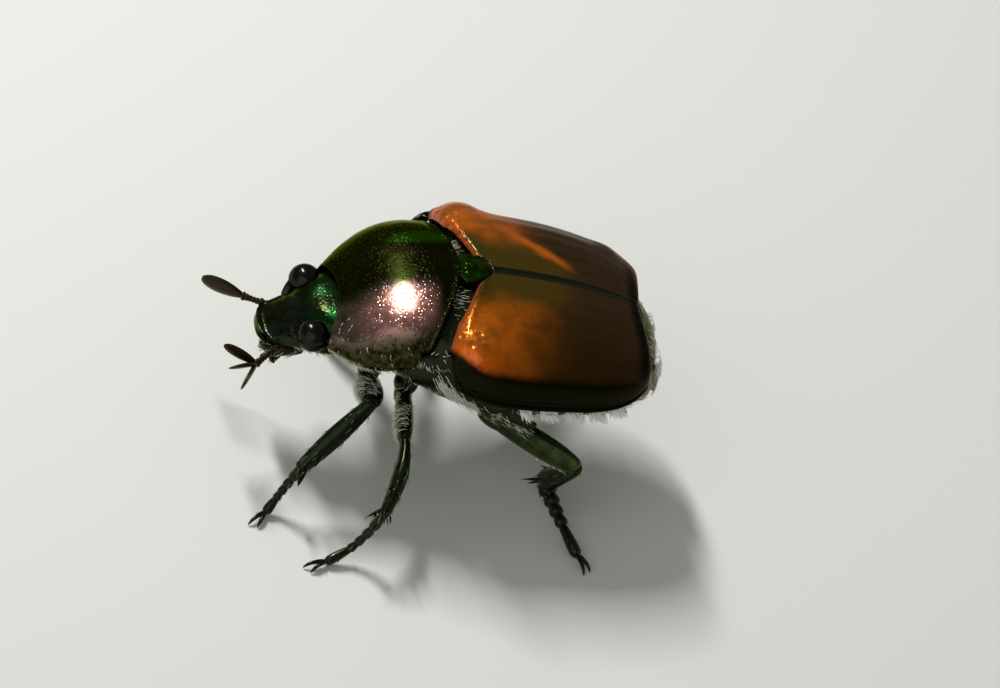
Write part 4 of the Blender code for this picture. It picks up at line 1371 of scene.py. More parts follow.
def make_scutellum(colours):
    """The small rounded shield between the wing cases."""
    angles = [math.tau * step / 72 for step in range(72)]
    rings = [
        [scutellum_point(angle, scale, SCUTELLUM_TOP + lift) for angle in angles]
        for scale, lift in SCUTELLUM_ROWS
    ]
    item = skin("scutellum_shield", rings)
    smooth_over(item, 1, 70.0)
    return finish_piece(item, "small_shield_horn", colours, "green_chitin", "scutellum")


# Wing cases

def section_shares(wide, high, roundness, steps):
    """List how far round a quarter section, from its top, each angle lies."""
    distances = [0.0]
    angles = spread(math.pi / 2, 0.0, steps)
    points = [Vector(rounded(angle, roundness)) * Vector((wide, high)) for angle in angles]
    for start, end in zip(points, points[1:]):
        distances.append(distances[-1] + (end - start).length)
    return [distance / distances[-1] for distance in distances], angles


WING_SHARES, WING_ANGLES = section_shares(*WING_SECTION, ELYTRON_ROUND, 600)


def wing_angle(v):
    """Give the section's angle at an even share of the way from seam to rim."""
    index = min(bisect.bisect_left(WING_SHARES, v), len(WING_SHARES) - 1)
    before = max(index - 1, 0)
    span = WING_SHARES[index] - WING_SHARES[before]
    share = (v - WING_SHARES[before]) / span if span else 0.0
    return WING_ANGLES[before] + (WING_ANGLES[index] - WING_ANGLES[before]) * share


def shield_edge(along):
    """Give how far from the middle a wing case's inner edge lies."""
    if not -SCUTELLUM_LENGTH < along < 0.0:
        return SEAM_GAP / 2
    forward = (-SCUTELLUM_LENGTH / 2 - along) / (SCUTELLUM_LENGTH / 2)
    outline = scutellum_half_width(forward) * math.sqrt(1.0 - forward * forward)
    return max(SEAM_GAP / 2, 0.94 * outline)


def wing_case_place(side, u, v, form):
    """Give a place on a wing case's outer face, front to tail and seam to rim."""
    wide, high = rounded(wing_angle(v), ELYTRON_ROUND)
    front = ELYTRON_FRONT + ELYTRON_FRONT_SWEEP * wide ** ELYTRON_FRONT_CURVE
    front += ELYTRON_CORNER_CUT * ease(v, 0.72, 1.0)
    end = ELYTRON_SEAM_END
    end += (ELYTRON_SIDE_END - ELYTRON_SEAM_END) * math.sin(v * math.pi / 2)
    along = front + (end - front) * u
    half_width, seam, rim = curve_at(ELYTRON_STATIONS, along)
    rib = 0.5 - 0.5 * math.cos(math.tau * RIDGES * v)
    shoulder = bell(along, SHOULDER[0], SHOULDER_REACH[0]) * bell(v, SHOULDER[1], SHOULDER_REACH[1])
    tail_knob = bell(u, TAIL_KNOB[0], TAIL_KNOB_REACH[0]) * bell(v, TAIL_KNOB[1], TAIL_KNOB_REACH[1])
    lift = form.ridge_height * rib * math.sin(math.pi * min(u * 1.05, 1.0)) * (1 - ease(v, 0.80, 0.90))
    lift += form.shoulder_height * shoulder + form.tail_knob_height * tail_knob
    lift += sum(height * bell(v, share, reach) for height, share, reach in WING_BEADS)
    turned = max(1.0 - u / FRONT_LIP, 0.0)
    lift += 0.022 * bell(u, 1.5 * FRONT_LIP, 0.6 * FRONT_LIP)
    lift -= form.lip_depth * (1.0 - math.sqrt(1.0 - turned * turned)) + 0.03 * bell(u, 1.0, 0.008)
    inner = shield_edge(along)
    out = inner + (half_width + lift - inner) * wide
    height = rim + (seam + lift - rim) * high
    if along < 0.04:
        height -= 0.05 * (1.0 - ease(out - inner, 0.0, 0.14))
    return along, side * out, height


def make_wing_case(name, side, form, colours, node):
    """One wing case, a stiff domed shell with faint lengthwise ridges."""
    item, places = add_grid(name, WING_GRID)
    mesh = item.data
    places = {index: (u ** FRONT_CLOSENESS, v) for index, (u, v) in places.items()}
    wing_map = mesh.uv_layers[0]
    wing_map.name = "WingMap"
    for loop in mesh.loops:
        wing_map.data[loop.index].uv = places[loop.vertex_index]
    for index, (u, v) in places.items():
        mesh.vertices[index].co = at(*wing_case_place(side, u, v, form))
    bpy.ops.object.mode_set(mode="EDIT")
    bpy.ops.mesh.select_all(action="SELECT")
    bpy.ops.mesh.normals_make_consistent(inside=False)
    bpy.ops.object.mode_set(mode="OBJECT")
    if mesh.polygons[len(mesh.polygons) // 2].normal.z < 0:
        mesh.flip_normals()
    thicken(item, ELYTRON_THICKNESS, 0.02, 2)
    return finish_piece(item, "wing_case_horn", colours, "copper_wing_case", node)


# Trunk, belly and last plate

def trunk_ring(along, swell=0.0, sides=20):
    """Give a section of the trunk: inside the wing cases above, bare below."""
    half_width, top, shoulder, low_width, edge, under = curve_at(TRUNK_STATIONS, along)
    right = []
    for angle in spread(math.pi / 2, 0.0, sides):
        wide, high = rounded(angle, ELYTRON_ROUND)
        right.append((half_width * wide, shoulder + (top - shoulder) * high))
    for angle in spread(-0.12, -math.pi / 2, sides):
        wide, high = rounded(angle, TRUNK_ROUND_UNDER)
        right.append(((low_width + swell) * wide, edge + (edge - under + swell) * high))
    left = [(-out, height) for out, height in reversed(right[1:-1])]
    return [at(along, out, height) for out, height in right + left]


def make_hind_thorax(colours):
    """Middle and hind thorax, with its collar, hip plates and the keel between the legs."""
    pieces = [skin("trunk", [trunk_ring(along) for along in spread(-1.25, THORAX_END, 24)])]
    for name, stations in (("breast", BREAST_STATIONS), ("collar", COLLAR_STATIONS)):
        rings = []
        for along in spread(stations[0][0], stations[-1][0], 20):
            section = oval(along, *curve_at(stations, along), 2.4, 2.0, 48)
            rings.append([at(*point) for point in section])
        pieces.append(skin(name, rings))
    for side in (LEFT, RIGHT):
        for start, bend, end, width, depth in THORAX_PLATES:
            bent = route(side, (start, bend, end))
            points = [bowed(*bent, share) for share in spread(0.0, 1.0, len(PLATE_SWELL))]
            pieces.append(limb(
                "plate", points, times(width, PLATE_SWELL), times(depth, PLATE_SWELL),
                ALONG_BODY if start[1] < 1.0 else UPRIGHT, 20,
            ))
    item = join("hind_thorax", pieces)
    smooth_over(item, 1, 60.0)
    return finish_piece(item, "thorax_horn", colours, "dark_chitin", "thorax")


def make_belly(form, colours):
    """The belly, whose plates overlap like tiles, each a step above the next."""
    rings = []
    plates = list(BELLY_PLATES) + [TRUNK_STATIONS[-1][0]]
    for start, end in zip(plates, plates[1:]):
        for share in (0.0, 0.03, 0.12, 0.35, 0.65, 0.90, 0.97):
            along = start + (end - start) * share
            swell = -form.belly_step * (1.0 - ease(share, 0.0, 0.12)) * 0.8
            swell += form.belly_step * 0.35 * share
            rings.append(trunk_ring(along, swell, 24))
    rings.append(trunk_ring(plates[-1] - 0.01, -0.05, 24))
    rings.append(trunk_ring(plates[-1], -0.25, 24))
    item = skin("belly", rings)
    smooth_over(item, 1, 60.0)
    return finish_piece(item, "belly_horn", colours, "dark_chitin", "abdomen")


def tail_place(u, v):
    """Give the outer face of the last plate, tip to top and side to side."""
    first = PYGIDIUM_STATIONS[0][0]
    last = PYGIDIUM_STATIONS[-1][0]
    height = first + (last - first) * u
    along, half_width = curve_at(PYGIDIUM_STATIONS, height)
    across = half_width * (2 * v - 1)
    return along - PYGIDIUM_SIDE_SWEEP * (across / PYGIDIUM_WIDEST) ** 2, across, height


def make_tail_plate(colours):
    """The domed last plate of the back."""
    item, places = add_grid("tail_plate", PYGIDIUM_GRID)
    mesh = item.data
    for index, (u, v) in places.items():
        mesh.vertices[index].co = at(*tail_place(u, v))
    if mesh.polygons[len(mesh.polygons) // 2].normal.x < 0:
        mesh.flip_normals()
    thicken(item, PYGIDIUM_THICKNESS, 0.05, 3)
    return finish_piece(item, "tail_horn", colours, "green_chitin", "pygidium")


# Legs

def leg_joints(leg):
    """Give a leg's joints as points of the scene."""
    joints = (leg.root, leg.knee, leg.ankle, leg.bend, leg.foot)
    return [on_side(leg.side, joint) for joint in joints]


# How swollen each share of a length is
FEMUR_SWELL = (
    (0.0, 0.78), (0.14, 0.84), (0.30, 0.94), (0.48, 1.0), (0.66, 0.98), (0.84, 0.86), (1.0, 0.62),
)
TIBIA_SWELLS = {
    "front": ((0.0, 0.66), (0.10, 0.78), (0.35, 0.96), (0.55, 1.0), (0.80, 0.88), (1.0, 0.70)),
    "middle": ((0.0, 0.60), (0.12, 0.62), (0.35, 0.80), (0.50, 0.88), (0.68, 0.82), (1.0, 0.54)),
    "hind": ((0.0, 0.66), (0.10, 0.80), (0.40, 0.92), (0.62, 1.0), (0.84, 1.04), (1.0, 0.92)),
}


def swollen(name, points, shares, swell, size, facing):
    """Model a thigh or a shin along points, swollen as its table says."""
    sizes = [curve_at(swell, share)[0] for share in shares]
    return limb(name, points, times(size[0], sizes), times(size[1], sizes), facing, 24)


def make_thigh(name, leg, colours):
    """Hip, hip joint and swollen thigh."""
    root, knee = leg_joints(leg)[:2]
    shares = spread(0.0, 1.0, 15)
    pieces = [swollen("thigh", between(root, knee, shares), shares, FEMUR_SWELL, leg.femur, leg.facing)]
    hip = root + UPRIGHT * 0.62 * MM - (knee - root) * 0.04
    sizes = (0.52, 0.64, 0.70, 0.66, 0.54)
    pieces.append(limb("hip", between(hip, root, (0.0, 0.2, 0.45, 0.7, 0.9)), sizes, sizes, ALONG_BODY, 20))
    joint = [root.lerp(knee, share) - UPRIGHT * 0.05 * MM for share in (-0.10, 0.0, 0.10, 0.18)]
    pieces.append(limb(
        "hip_joint", joint, (0.46, 0.58, 0.58, 0.40), (0.42, 0.52, 0.50, 0.34), leg.facing, 20,
    ))
    item = join("thigh_" + name, pieces)
    smooth_over(item, 1, 60.0)
    finish = "hind_thigh_horn" if name.startswith("hind") else "thigh_horn"
    return finish_piece(item, finish, colours, "dark_chitin", "femur_" + name)


def shin_point(leg, share):
    """Give a point on a shin's middle line, knee to ankle."""
    knee, ankle = leg_joints(leg)[1:3]
    return bowed(knee, knee.lerp(ankle, 0.5) + leg.arch * MM, ankle, share)


# Teeth of a front shin: share of its length, and their own length
FRONT_TEETH = ((0.74, 0.46), (0.96, 0.62))
# Spines and spurs of the other shins: share of the length, and how far they lean
SHIN_SPINES = ((0.34, 0.5), (0.40, -0.6), (0.64, 0.6), (0.70, -0.5))
SHIN_SPURS = ((0.90, 0.9), (0.97, 0.2))
END_BRISTLES = 14


def shin_spines(name, leg, rng):
    """Give the roots of a shin's teeth, spines, spurs and end bristles."""
    knee, ankle = leg_joints(leg)[1:3]
    axis = (ankle - knee).normalized()
    roots = []
    if name.startswith("front"):
        outer = Vector((0.0, leg.side, 0.0))
        outer = (outer - axis * outer.dot(axis)).normalized()
        for share, length in FRONT_TEETH:
            way = (outer * 0.8 + axis * 0.6).normalized()
            roots.append(Root(shin_point(leg, share), way, axis * 0.15, length, 0.30))
        return roots
    outer = (UPRIGHT - axis * axis.z).normalized()
    beside = axis.cross(outer)
    for share, lean in SHIN_SPINES:
        way = (outer + beside * lean).normalized()
        point = shin_point(leg, share) + way * leg.tibia[1] * 0.30 * MM
        roots.append(Root(point, (way * 0.7 + axis * 0.75).normalized(), axis * 0.2, 0.40, 0.10))
    for share, lean in SHIN_SPURS:
        way = (axis * 0.5 - ALONG_BODY * lean).normalized()
        point = shin_point(leg, share) + way * leg.tibia[1] * 0.30 * MM
        roots.append(Root(point, way, axis * 0.15, 0.52, 0.11))
    for step in range(END_BRISTLES):
        turn = math.tau * step / END_BRISTLES + rng.uniform(-0.1, 0.1)
        around = outer * math.cos(turn) + beside * math.sin(turn)
        point = shin_point(leg, 0.985) + around * leg.tibia[1] * 0.40 * MM
        roots.append(Root(point, (axis + around * 0.35).normalized(), axis * 0.1, 0.16, 0.045))
    return roots


def make_shin(name, leg, colours):
    """A shin, wider and spiny towards its end."""
    shares = spread(0.0, 1.0, 18)
    points = [shin_point(leg, share) for share in shares]
    swell = TIBIA_SWELLS[name.split("_")[0]]
    shin = swollen("shin", points, shares, swell, leg.tibia, leg.facing)
    smooth_over(shin, 1, 60.0)
    spines = grow("spines", slender(6, 8), shin_spines(name, leg, random.Random(name)))
    item = join("shin_" + name, [shin, spines])
    smooth_over(item, 0, 60.0)
    return finish_piece(item, "shin_horn", colours, "dark_chitin", "tibia_" + name)


def make_foot(name, leg, colours):
    """A foot of five beads with its claws, flat where it stands."""
    ankle, bend, foot = leg_joints(leg)[2:]
    ahead = foot - bend
    ahead.z = 0.0
    ahead.normalize()
    beside = Vector((-ahead.y, ahead.x, 0.0))
    joints = [bowed(ankle, bend, foot, share) for share in TARSUS_JOINTS]
    swell = HIND_TARSUS_SWELL if name.startswith("hind") else TARSUS_SWELL
    pieces = beads("joint", joints, times(TARSUS_WIDTH, swell), 16)
    sizes = [row[3] for row in CLAW_PATH]
    for turn, length in ((-CLAW_SPREAD, 1.0), (CLAW_SPREAD, 0.84)):
        way = ahead * math.cos(turn) + beside * math.sin(turn)
        points = [
            foot + way * ((share * CLAW_LENGTH * length + more) * MM) + UPRIGHT * (height * MM)
            for share, more, height, size in CLAW_PATH
        ]
        pieces.append(limb("claw", points, sizes, sizes, UPRIGHT, 12))
    item = join("foot_" + name, pieces)
    smooth_over(item, 1, 60.0)
    for vert in item.data.vertices:
        vert.co.z = max(vert.co.z, 0.0)
    return finish_piece(item, "foot_horn", colours, "black_foot", "tarsus_" + name)


# Hairs and tufts

BODY_LINE = ((-5.6, 0.0, 3.6), (5.2, 0.0, 3.6))


def hair_roots(coat, piece, count, seed, keep, flow, stand, length, thickness, line=BODY_LINE):
    """Root hairs on a skin: they lie along flow and stand off by stand.

    Length and thickness are shares of the coat's usual ones.
    """
    rng = random.Random(seed)
    start, end = (at(*place) if isinstance(place, tuple) else place for place in line)
    length *= coat.hair_length
    thickness *= coat.hair_thickness
    roots = []
    for point, normal in roots_on(bpy.data.objects[piece], count, rng, keep):
        lean = flow(place_of(point))
        lean = lean - normal * lean.dot(normal)
        if lean.length < 0.05:
            continue
        lean.normalize()
        stray = Vector(rng.uniform(-0.22, 0.22) for axis in range(3))
        way = (lean + normal * stand * rng.uniform(0.6, 1.4) + stray).normalized()
        roots.append(Root(
            point - normal * 0.02 * MM, way, lean * 0.25 - normal * stand * 0.35,
            length * rng.uniform(0.65, 1.2), thickness * rng.uniform(0.8, 1.2),
            patch_at(point, start, end),
        ))
    return roots


def finish_hairs(name, roots, finish, colours, slot="dark_chitin"):
    """Grow a coat from its roots and give it its finish."""
    return finish_piece(grow(name, slender(4, 4), roots), finish, colours, slot)


def always(way):
    """Give a flow that is the same everywhere."""
    return lambda place: way


def make_breast_hairs(coat, colours):
    """Pale hairs over breast and flanks, long and thick in a band below the wings."""
    def on_flank(place, normal):
        along, across, height = place
        if height > 4.15 or not -2.0 < along < 0.98 or normal.z > 0.55:
            return 0.0
        return 0.25 + 0.75 * ease(height, 3.5, 2.9)

    def in_band(place, normal):
        along, across, height = place
        middle = 4.40 - 0.70 * (along + 1.53)
        inside = ease(along, -1.55, -1.15) * ease(along, -0.05, -0.35)
        return bell(height, middle, 0.16) * inside if abs(across) > 1.7 else 0.0

    def by_small_shield(place, normal):
        along, across, height = place
        near = bell(along, -1.02, 0.18) * bell(abs(across), 0.95, 0.36)
        return near if height > 5.2 else 0.0

    def on_shoulder(place, normal):
        along, across, height = place
        return 1.0 if height > 4.6 and along < -1.2 and abs(across) > 2.3 else 0.0

    back_down = always(Vector((0.75, 0.0, -0.65)))
    rows = (
        (coat.breast_count, 11, on_flank, back_down, 0.20, 0.55, 1.0),
        (coat.band_count, 12, in_band, back_down, 0.18, 0.75, 1.15),
        (coat.corner_count * 4, 13, by_small_shield, back_down, 0.25, 0.4, 1.2),
        (coat.corner_count, 14, on_shoulder, back_down, 0.25, 0.4, 1.0),
    )
    roots = []
    for row in rows:
        roots += hair_roots(coat, "hind_thorax", *row)
    return finish_hairs("breast_hairs", roots, "pale_hair", colours)


def make_forebody_hairs(coat, colours):
    """Pale hairs under the prothorax, round the neck, on the cheeks and the mouth."""
    def below_margin(place, normal):
        along, across, height = place
        return ease(height, 4.05, 3.70) if along < -1.0 and normal.x > -0.75 else 0.0

    def on_flank(place, normal):
        along, across, height = place
        return ease(height, 5.30, 4.30) if height > 3.6 and abs(across) > 1.2 else 0.0

    def on_cheek(place, normal):
        along, across, height = place
        return ease(height, 3.45, 3.15) if -4.9 < along < -3.75 else 0.0

    def on_mouth(place, normal):
        return 1.0 if normal.z < 0.3 and normal.x < 0.5 else 0.0

    back_down = always(Vector((0.55, 0.0, -0.80)))
    forward_down = always(Vector((-0.70, 0.0, -0.60)))
    count = coat.forebody_count
    rows = (
        ("prothorax", count, 21, below_margin, back_down, 0.45, 0.7, 1.0),
        ("prothorax", count // 4, 24, on_flank, back_down, 0.25, 0.3, 1.1),
        ("head_capsule", count // 5, 22, on_cheek, back_down, 0.6, 0.6, 0.9),
        ("mouthparts_fine", count // 5, 23, on_mouth, forward_down, 0.5, 0.45, 0.8),
    )
    roots = []
    for row in rows:
        roots += hair_roots(coat, *row)
    return finish_hairs("forebody_hairs", roots, "pale_hair", colours)


def thigh_hair_roots(coat, number, name, leg):
    """Root one thigh's hairs: rows across it, or on a hind one a fringe and a stripe."""
    root, knee = leg_joints(leg)[:2]
    axis = knee - root
    way = axis.normalized()
    start = 0.30 if name.startswith("front") else 0.46

    def share_of(place):
        return (at(*place) - root).dot(axis) / axis.length_squared

    def in_rows(place, normal):
        share = share_of(place)
        if not start < share < 0.92 or normal.x > 0.45:
            return 0.03 if 0.1 < share < 0.92 else 0.0
        return 0.15 + 0.85 * (0.5 + 0.5 * math.cos(math.tau * share * coat.thigh_rows)) ** 2

    def fringe(place, normal):
        return ease(-normal.z, 0.55, 0.9) if 0.25 < share_of(place) < 0.90 else 0.0

    def stripe(place, normal):
        share = share_of(place)
        aside = bell(normal.z, 0.62, 0.22) if normal.y * leg.side > 0 else 0.0
        return aside * ease(share, 0.50, 0.36) if share > -0.1 else 0.0

    count = coat.thigh_count
    away_down = always(way * 0.5 - UPRIGHT * 0.2 - ALONG_BODY * 0.2)
    forward_down = always(Vector((-0.85, 0.0, -0.50)) + way * 0.25)
    rows = ((count * 5 // 4, 31, in_rows, forward_down, 0.65, 0.48, 0.75),)
    if name.startswith("hind"):
        rows = (
            (count // 2, 31, fringe, away_down, 0.9, 0.42, 0.7),
            (count * 3 // 2, 131, stripe, always(way), 0.15, 0.55, 1.0),
        )
    roots = []
    for hairs, seed, *lie in rows:
        roots += hair_roots(coat, "thigh_" + name, hairs, seed + number, *lie, (root, knee))
    return roots


def make_thigh_hairs(coat, colours):
    """Rows of hairs across the fore and middle thighs, a stripe and a fringe on the hind ones."""
    roots = []
    for number, (name, leg) in enumerate(LEGS.items()):
        roots += thigh_hair_roots(coat, number, name, leg)
    return finish_hairs("thigh_hairs", roots, "pale_hair", colours)


def make_shin_bristles(coat, colours):
    """Short stiff bristles along shins and feet."""
    def off_floor(place, normal):
        return 1.0 if place[2] > 0.18 else 0.0

    roots = []
    for number, (name, leg) in enumerate(LEGS.items()):
        knee, ankle, bend, foot = leg_joints(leg)[1:]
        along_shin = always((ankle - knee).normalized())
        along_foot = always((foot - ankle).normalized())
        count = coat.bristle_count
        roots += hair_roots(
            coat, "shin_" + name, count, 41 + number, off_floor, along_shin, 0.6, 0.55, 1.0,
            (knee, ankle),
        )
        roots += hair_roots(
            coat, "foot_" + name, count // 3, 51 + number, off_floor, along_foot, 0.5, 0.4, 0.9,
            (ankle, foot),
        )
    return finish_hairs("shin_bristles", roots, "bristle_horn", colours)


def make_belly_hairs(coat, colours):
    """Rows of pale hairs across the belly plates."""
    def in_rows(place, normal):
        along, across, height = place
        if height > 3.9 or along > 4.6:
            return 0.0
        start = max((plate for plate in BELLY_PLATES if plate <= along), default=BELLY_PLATES[0])
        return 0.15 + bell(along, start + 0.34, 0.10)

    roots = hair_roots(
        coat, "belly", coat.belly_count, 61, in_rows, always(Vector((0.9, 0.0, -0.3))),
        0.35, 0.7, 0.9,
    )
    return finish_hairs("belly_hairs", roots, "pale_hair", colours)


def tuft_roots(middle, spread_ways, way, locks, coat, rng):
    """Root one white tuft: pointed locks side by side in two layers, fanned a little."""
    wide, high = spread_ways
    body_line = (at(*BODY_LINE[0]), at(*BODY_LINE[1]))
    roots = []
    for lock in range(2 * locks):
        layer = lock % 2
        place = (lock + 0.5) / locks - 1.0
        base = middle + wide * place + high * (0.5 - layer + rng.uniform(-0.15, 0.15))
        fan = wide.normalized() * (0.22 * place + rng.uniform(-0.06, 0.06))
        lock_way = (way + fan).normalized()
        length = coat.tuft_length * rng.uniform(0.86, 1.12) * (1.0 - 0.18 * abs(place))
        for number in range(coat.lock_count):
            stray = Vector(rng.uniform(-1.0, 1.0) for axis in range(3))
            point = base + stray * LOCK_RADIUS * MM
            roots.append(Root(
                point, (lock_way - stray * 0.12).normalized(), UPRIGHT * -0.10,
                length * rng.uniform(0.80, 1.0), coat.tuft_thickness, patch_at(point, *body_line),
            ))
    return roots


def make_side_tufts(coat, colours):
    """The row of white tufts below each wing case, the first of them smaller."""
    rng = random.Random(71)
    roots = []
    for side in (LEFT, RIGHT):
        for number, along in enumerate(SIDE_TUFTS_ALONG):
            low_width, edge = curve_at(TRUNK_STATIONS, along)[3:5]
            size = FIRST_TUFT_SIZE if number == 0 else 1.0
            middle = at(along - 0.04, side * (low_width + 0.02), edge - 0.03 + 0.06 * (1 - size))
            way = Vector((0.50, side * 0.36, -0.79)).normalized()
            ways = (ALONG_BODY * SIDE_TUFT_REACH * size * MM, Vector((0.0, -side * 0.05, 0.10)) * MM)
            roots += tuft_roots(middle, ways, way, round(coat.tuft_count * size), coat, rng)
    return finish_hairs("side_tufts", roots, "white_hair", colours)


def make_tail_tufts(coat, colours):
    """The two white tufts on the last plate, each in two rows."""
    rng = random.Random(72)
    roots = []
    out, height = PYGIDIUM_TUFT
    first = PYGIDIUM_STATIONS[0][0]
    last = PYGIDIUM_STATIONS[-1][0]
    half_width = curve_at(PYGIDIUM_STATIONS, height)[1]
    ways = (ACROSS_BODY * TAIL_TUFT_REACH * MM, Vector((0.03, 0.0, 0.12)) * MM)
    for side in (LEFT, RIGHT):
        place = tail_place((height - first) / (last - first), 0.5 + side * out / half_width / 2)
        way = Vector((0.62, side * 0.16, -0.76)).normalized()
        for drop in TAIL_TUFT_DROPS:
            middle = at(*place) + Vector((0.25 * drop, 0.0, -drop)) * MM
            roots += tuft_roots(middle, ways, way, coat.tuft_count, coat, rng)
    return finish_hairs("tail_tufts", roots, "white_hair", colours, "green_chitin")


def make_tail_fringe(coat, colours):
    """Short pale hairs all over the last plate, closer towards its sides."""
    def outer_face(place, normal):
        return 0.10 + ease(abs(place[1]), 1.1, 1.5) if normal.x > 0.2 else 0.0

    def down_and_out(place):
        return Vector((0.3, place[1] * 0.2, -0.9))

    roots = hair_roots(
        coat, "tail_plate", coat.fringe_count, 81, outer_face, down_and_out, 0.3, 0.5, 0.9,
    )
    return finish_hairs("tail_fringe", roots, "pale_hair", colours, "green_chitin")


# Stage

def make_stage(stage):
    """Pale floor, soft studio lights and the photo's camera."""
    deselect_all()
    bpy.ops.mesh.primitive_plane_add(size=FLOOR_SIZE)
    floor = named("floor")
    material = bpy.data.materials.new("floor_paint")
    material.use_nodes = True
    shader = material.node_tree.nodes["Principled BSDF"]
    shader.inputs["Base Color"].default_value = (*stage.floor_colour, 1.0)
    shader.inputs["Roughness"].default_value = 0.8
    floor.data.materials.append(material)

    bpy.context.scene.view_settings.view_transform = "Standard"
    world = bpy.data.worlds.new("studio")
    bpy.context.scene.world = world
    world.use_nodes = True
    backdrop = world.node_tree.nodes["Background"]
    backdrop.inputs["Color"].default_value = (*stage.air_colour, 1.0)
    backdrop.inputs["Strength"].default_value = stage.air_strength

    add_softbox(
        "key", stage.key_way, stage.key_distance, stage.key_size, stage.key_power,
        stage.key_stretch, math.radians(stage.key_turn),
    )
    add_softbox("fill", stage.fill_way, stage.fill_distance, stage.fill_size, stage.fill_power)
    add_camera(stage)


def add_softbox(name, way, distance, size, power, stretch=1.0, turn=0.0):
    """Hang a light in one direction from the beetle, facing it, long in one way."""
    deselect_all()
    way = Vector(way).normalized()
    bpy.ops.object.light_add(type="AREA", location=BODY_MIDDLE + way * distance)
    light = bpy.context.object
    light.name = name
    light.data.shape = "RECTANGLE"
    light.data.size = size * stretch
    light.data.size_y = size / stretch
    light.data.energy = power
    facing = way.to_track_quat("Z", "Y") @ Quaternion((0.0, 0.0, 1.0), turn)
    light.rotation_euler = facing.to_euler()


def add_camera(stage):
    """Look at the beetle from far off, at the photo's angle and size."""
    right = VIEW_RIGHT
    up = (VIEW_UP_ROUGH - right * VIEW_UP_ROUGH.dot(right)).normalized()
    back = right.cross(up)
    tip = at(0.0, 0.0, SCUTELLUM_TOP)
    width, height = PICTURE_SIZE
    aside = (width / 2 - TIP_PIXEL[0]) / PIXELS_PER_MM * MM
    below = (height / 2 - TIP_PIXEL[1]) / PIXELS_PER_MM * MM
    target = tip + right * aside - up * below
    deselect_all()
    bpy.ops.object.camera_add()
    camera = bpy.context.object
    camera.name = "photo_view"
    turn = Matrix((right, up, back)).transposed().to_4x4()
    camera.matrix_world = Matrix.Translation(target + back * stage.camera_distance) @ turn
    camera.data.sensor_fit = "HORIZONTAL"
    camera.data.sensor_width = SENSOR_WIDTH
    camera.data.lens = SENSOR_WIDTH * stage.camera_distance / (width / PIXELS_PER_MM * MM)
    camera.data.clip_start = 0.01
    bpy.context.scene.camera = camera


# Settings, buttons and panel

def length_mm(name, description, default):
    """Describe a size in millimetres."""
    return FloatProperty(name=name, description=description, default=default, min=0.0, precision=4)


def colour(name, description, default):
    """Describe a colour."""
    return FloatVectorProperty(
        name=name, description=description, default=default, subtype="COLOR", min=0.0, max=1.0,
    )


def number_of(name, description, default):
    """Describe a count."""
    return IntProperty(name=name, description=description, default=default, min=0)


def amount(name, description, default, unit="NONE"):
    """Describe a plain number, or a distance in metres if the unit is LENGTH."""
    return FloatProperty(name=name, description=description, default=default, unit=unit)


def direction(name, description, default):
    """Describe a direction."""
    return FloatVectorProperty(name=name, description=description, default=default)


class BeetleForm(bpy.types.PropertyGroup):
    """Sizes of the horn plates, in millimetres"""
    margin_bead: length_mm("Margin bead", "How far the shield's rim stands out", 0.06)
    ridge_height: length_mm("Wing ridges", "Height of the ridges along a wing case", 0.010)
    lip_depth: length_mm("Front lip", "How far a wing case's front edge turns down", 0.12)
    shoulder_height: length_mm("Shoulder", "Height of the knob at a wing case's shoulder", 0.16)
    tail_knob_height: length_mm("Tail knob", "Height of the knob near a wing case's tail", 0.06)
    belly_step: length_mm("Belly step", "Step from one belly plate to the next", 0.05)


class BeetleCoat(bpy.types.PropertyGroup):
    """Sizes, in millimetres, and numbers of the hairs"""
    hair_length: length_mm("Hair length", "Usual length of a body hair", 0.42)
    hair_thickness: length_mm("Hair thickness", "Thickness of a hair at its root", 0.026)
    tuft_length: length_mm("Tuft length", "Length of a white tuft's hairs", 0.31)
    tuft_thickness: length_mm("Tuft hair", "Thickness of a tuft's hairs", 0.032)
    breast_count: number_of("Breast hairs", "Hairs on breast and flanks", 1800)
    band_count: number_of("Band hairs", "Hairs in the thick band below the wings", 2600)
    corner_count: number_of("Corner hairs", "Hairs at the shoulders and the small shield", 120)
    forebody_count: number_of("Forebody hairs", "Hairs below the shield's margin", 1300)
    thigh_count: number_of("Thigh hairs", "Usual number of hairs on a thigh", 240)
    thigh_rows: number_of("Thigh rows", "Rows of hairs along a thigh", 11)
    bristle_count: number_of("Shin bristles", "Bristles on each shin", 46)
    belly_count: number_of("Belly hairs", "Hairs on the belly plates", 1500)
    tuft_count: number_of("Tuft locks", "Locks side by side in each white tuft", 7)
    lock_count: number_of("Lock hairs", "Hairs in each lock of a tuft", 13)
    fringe_count: number_of("Tail hairs", "Hairs on the last plate", 450)


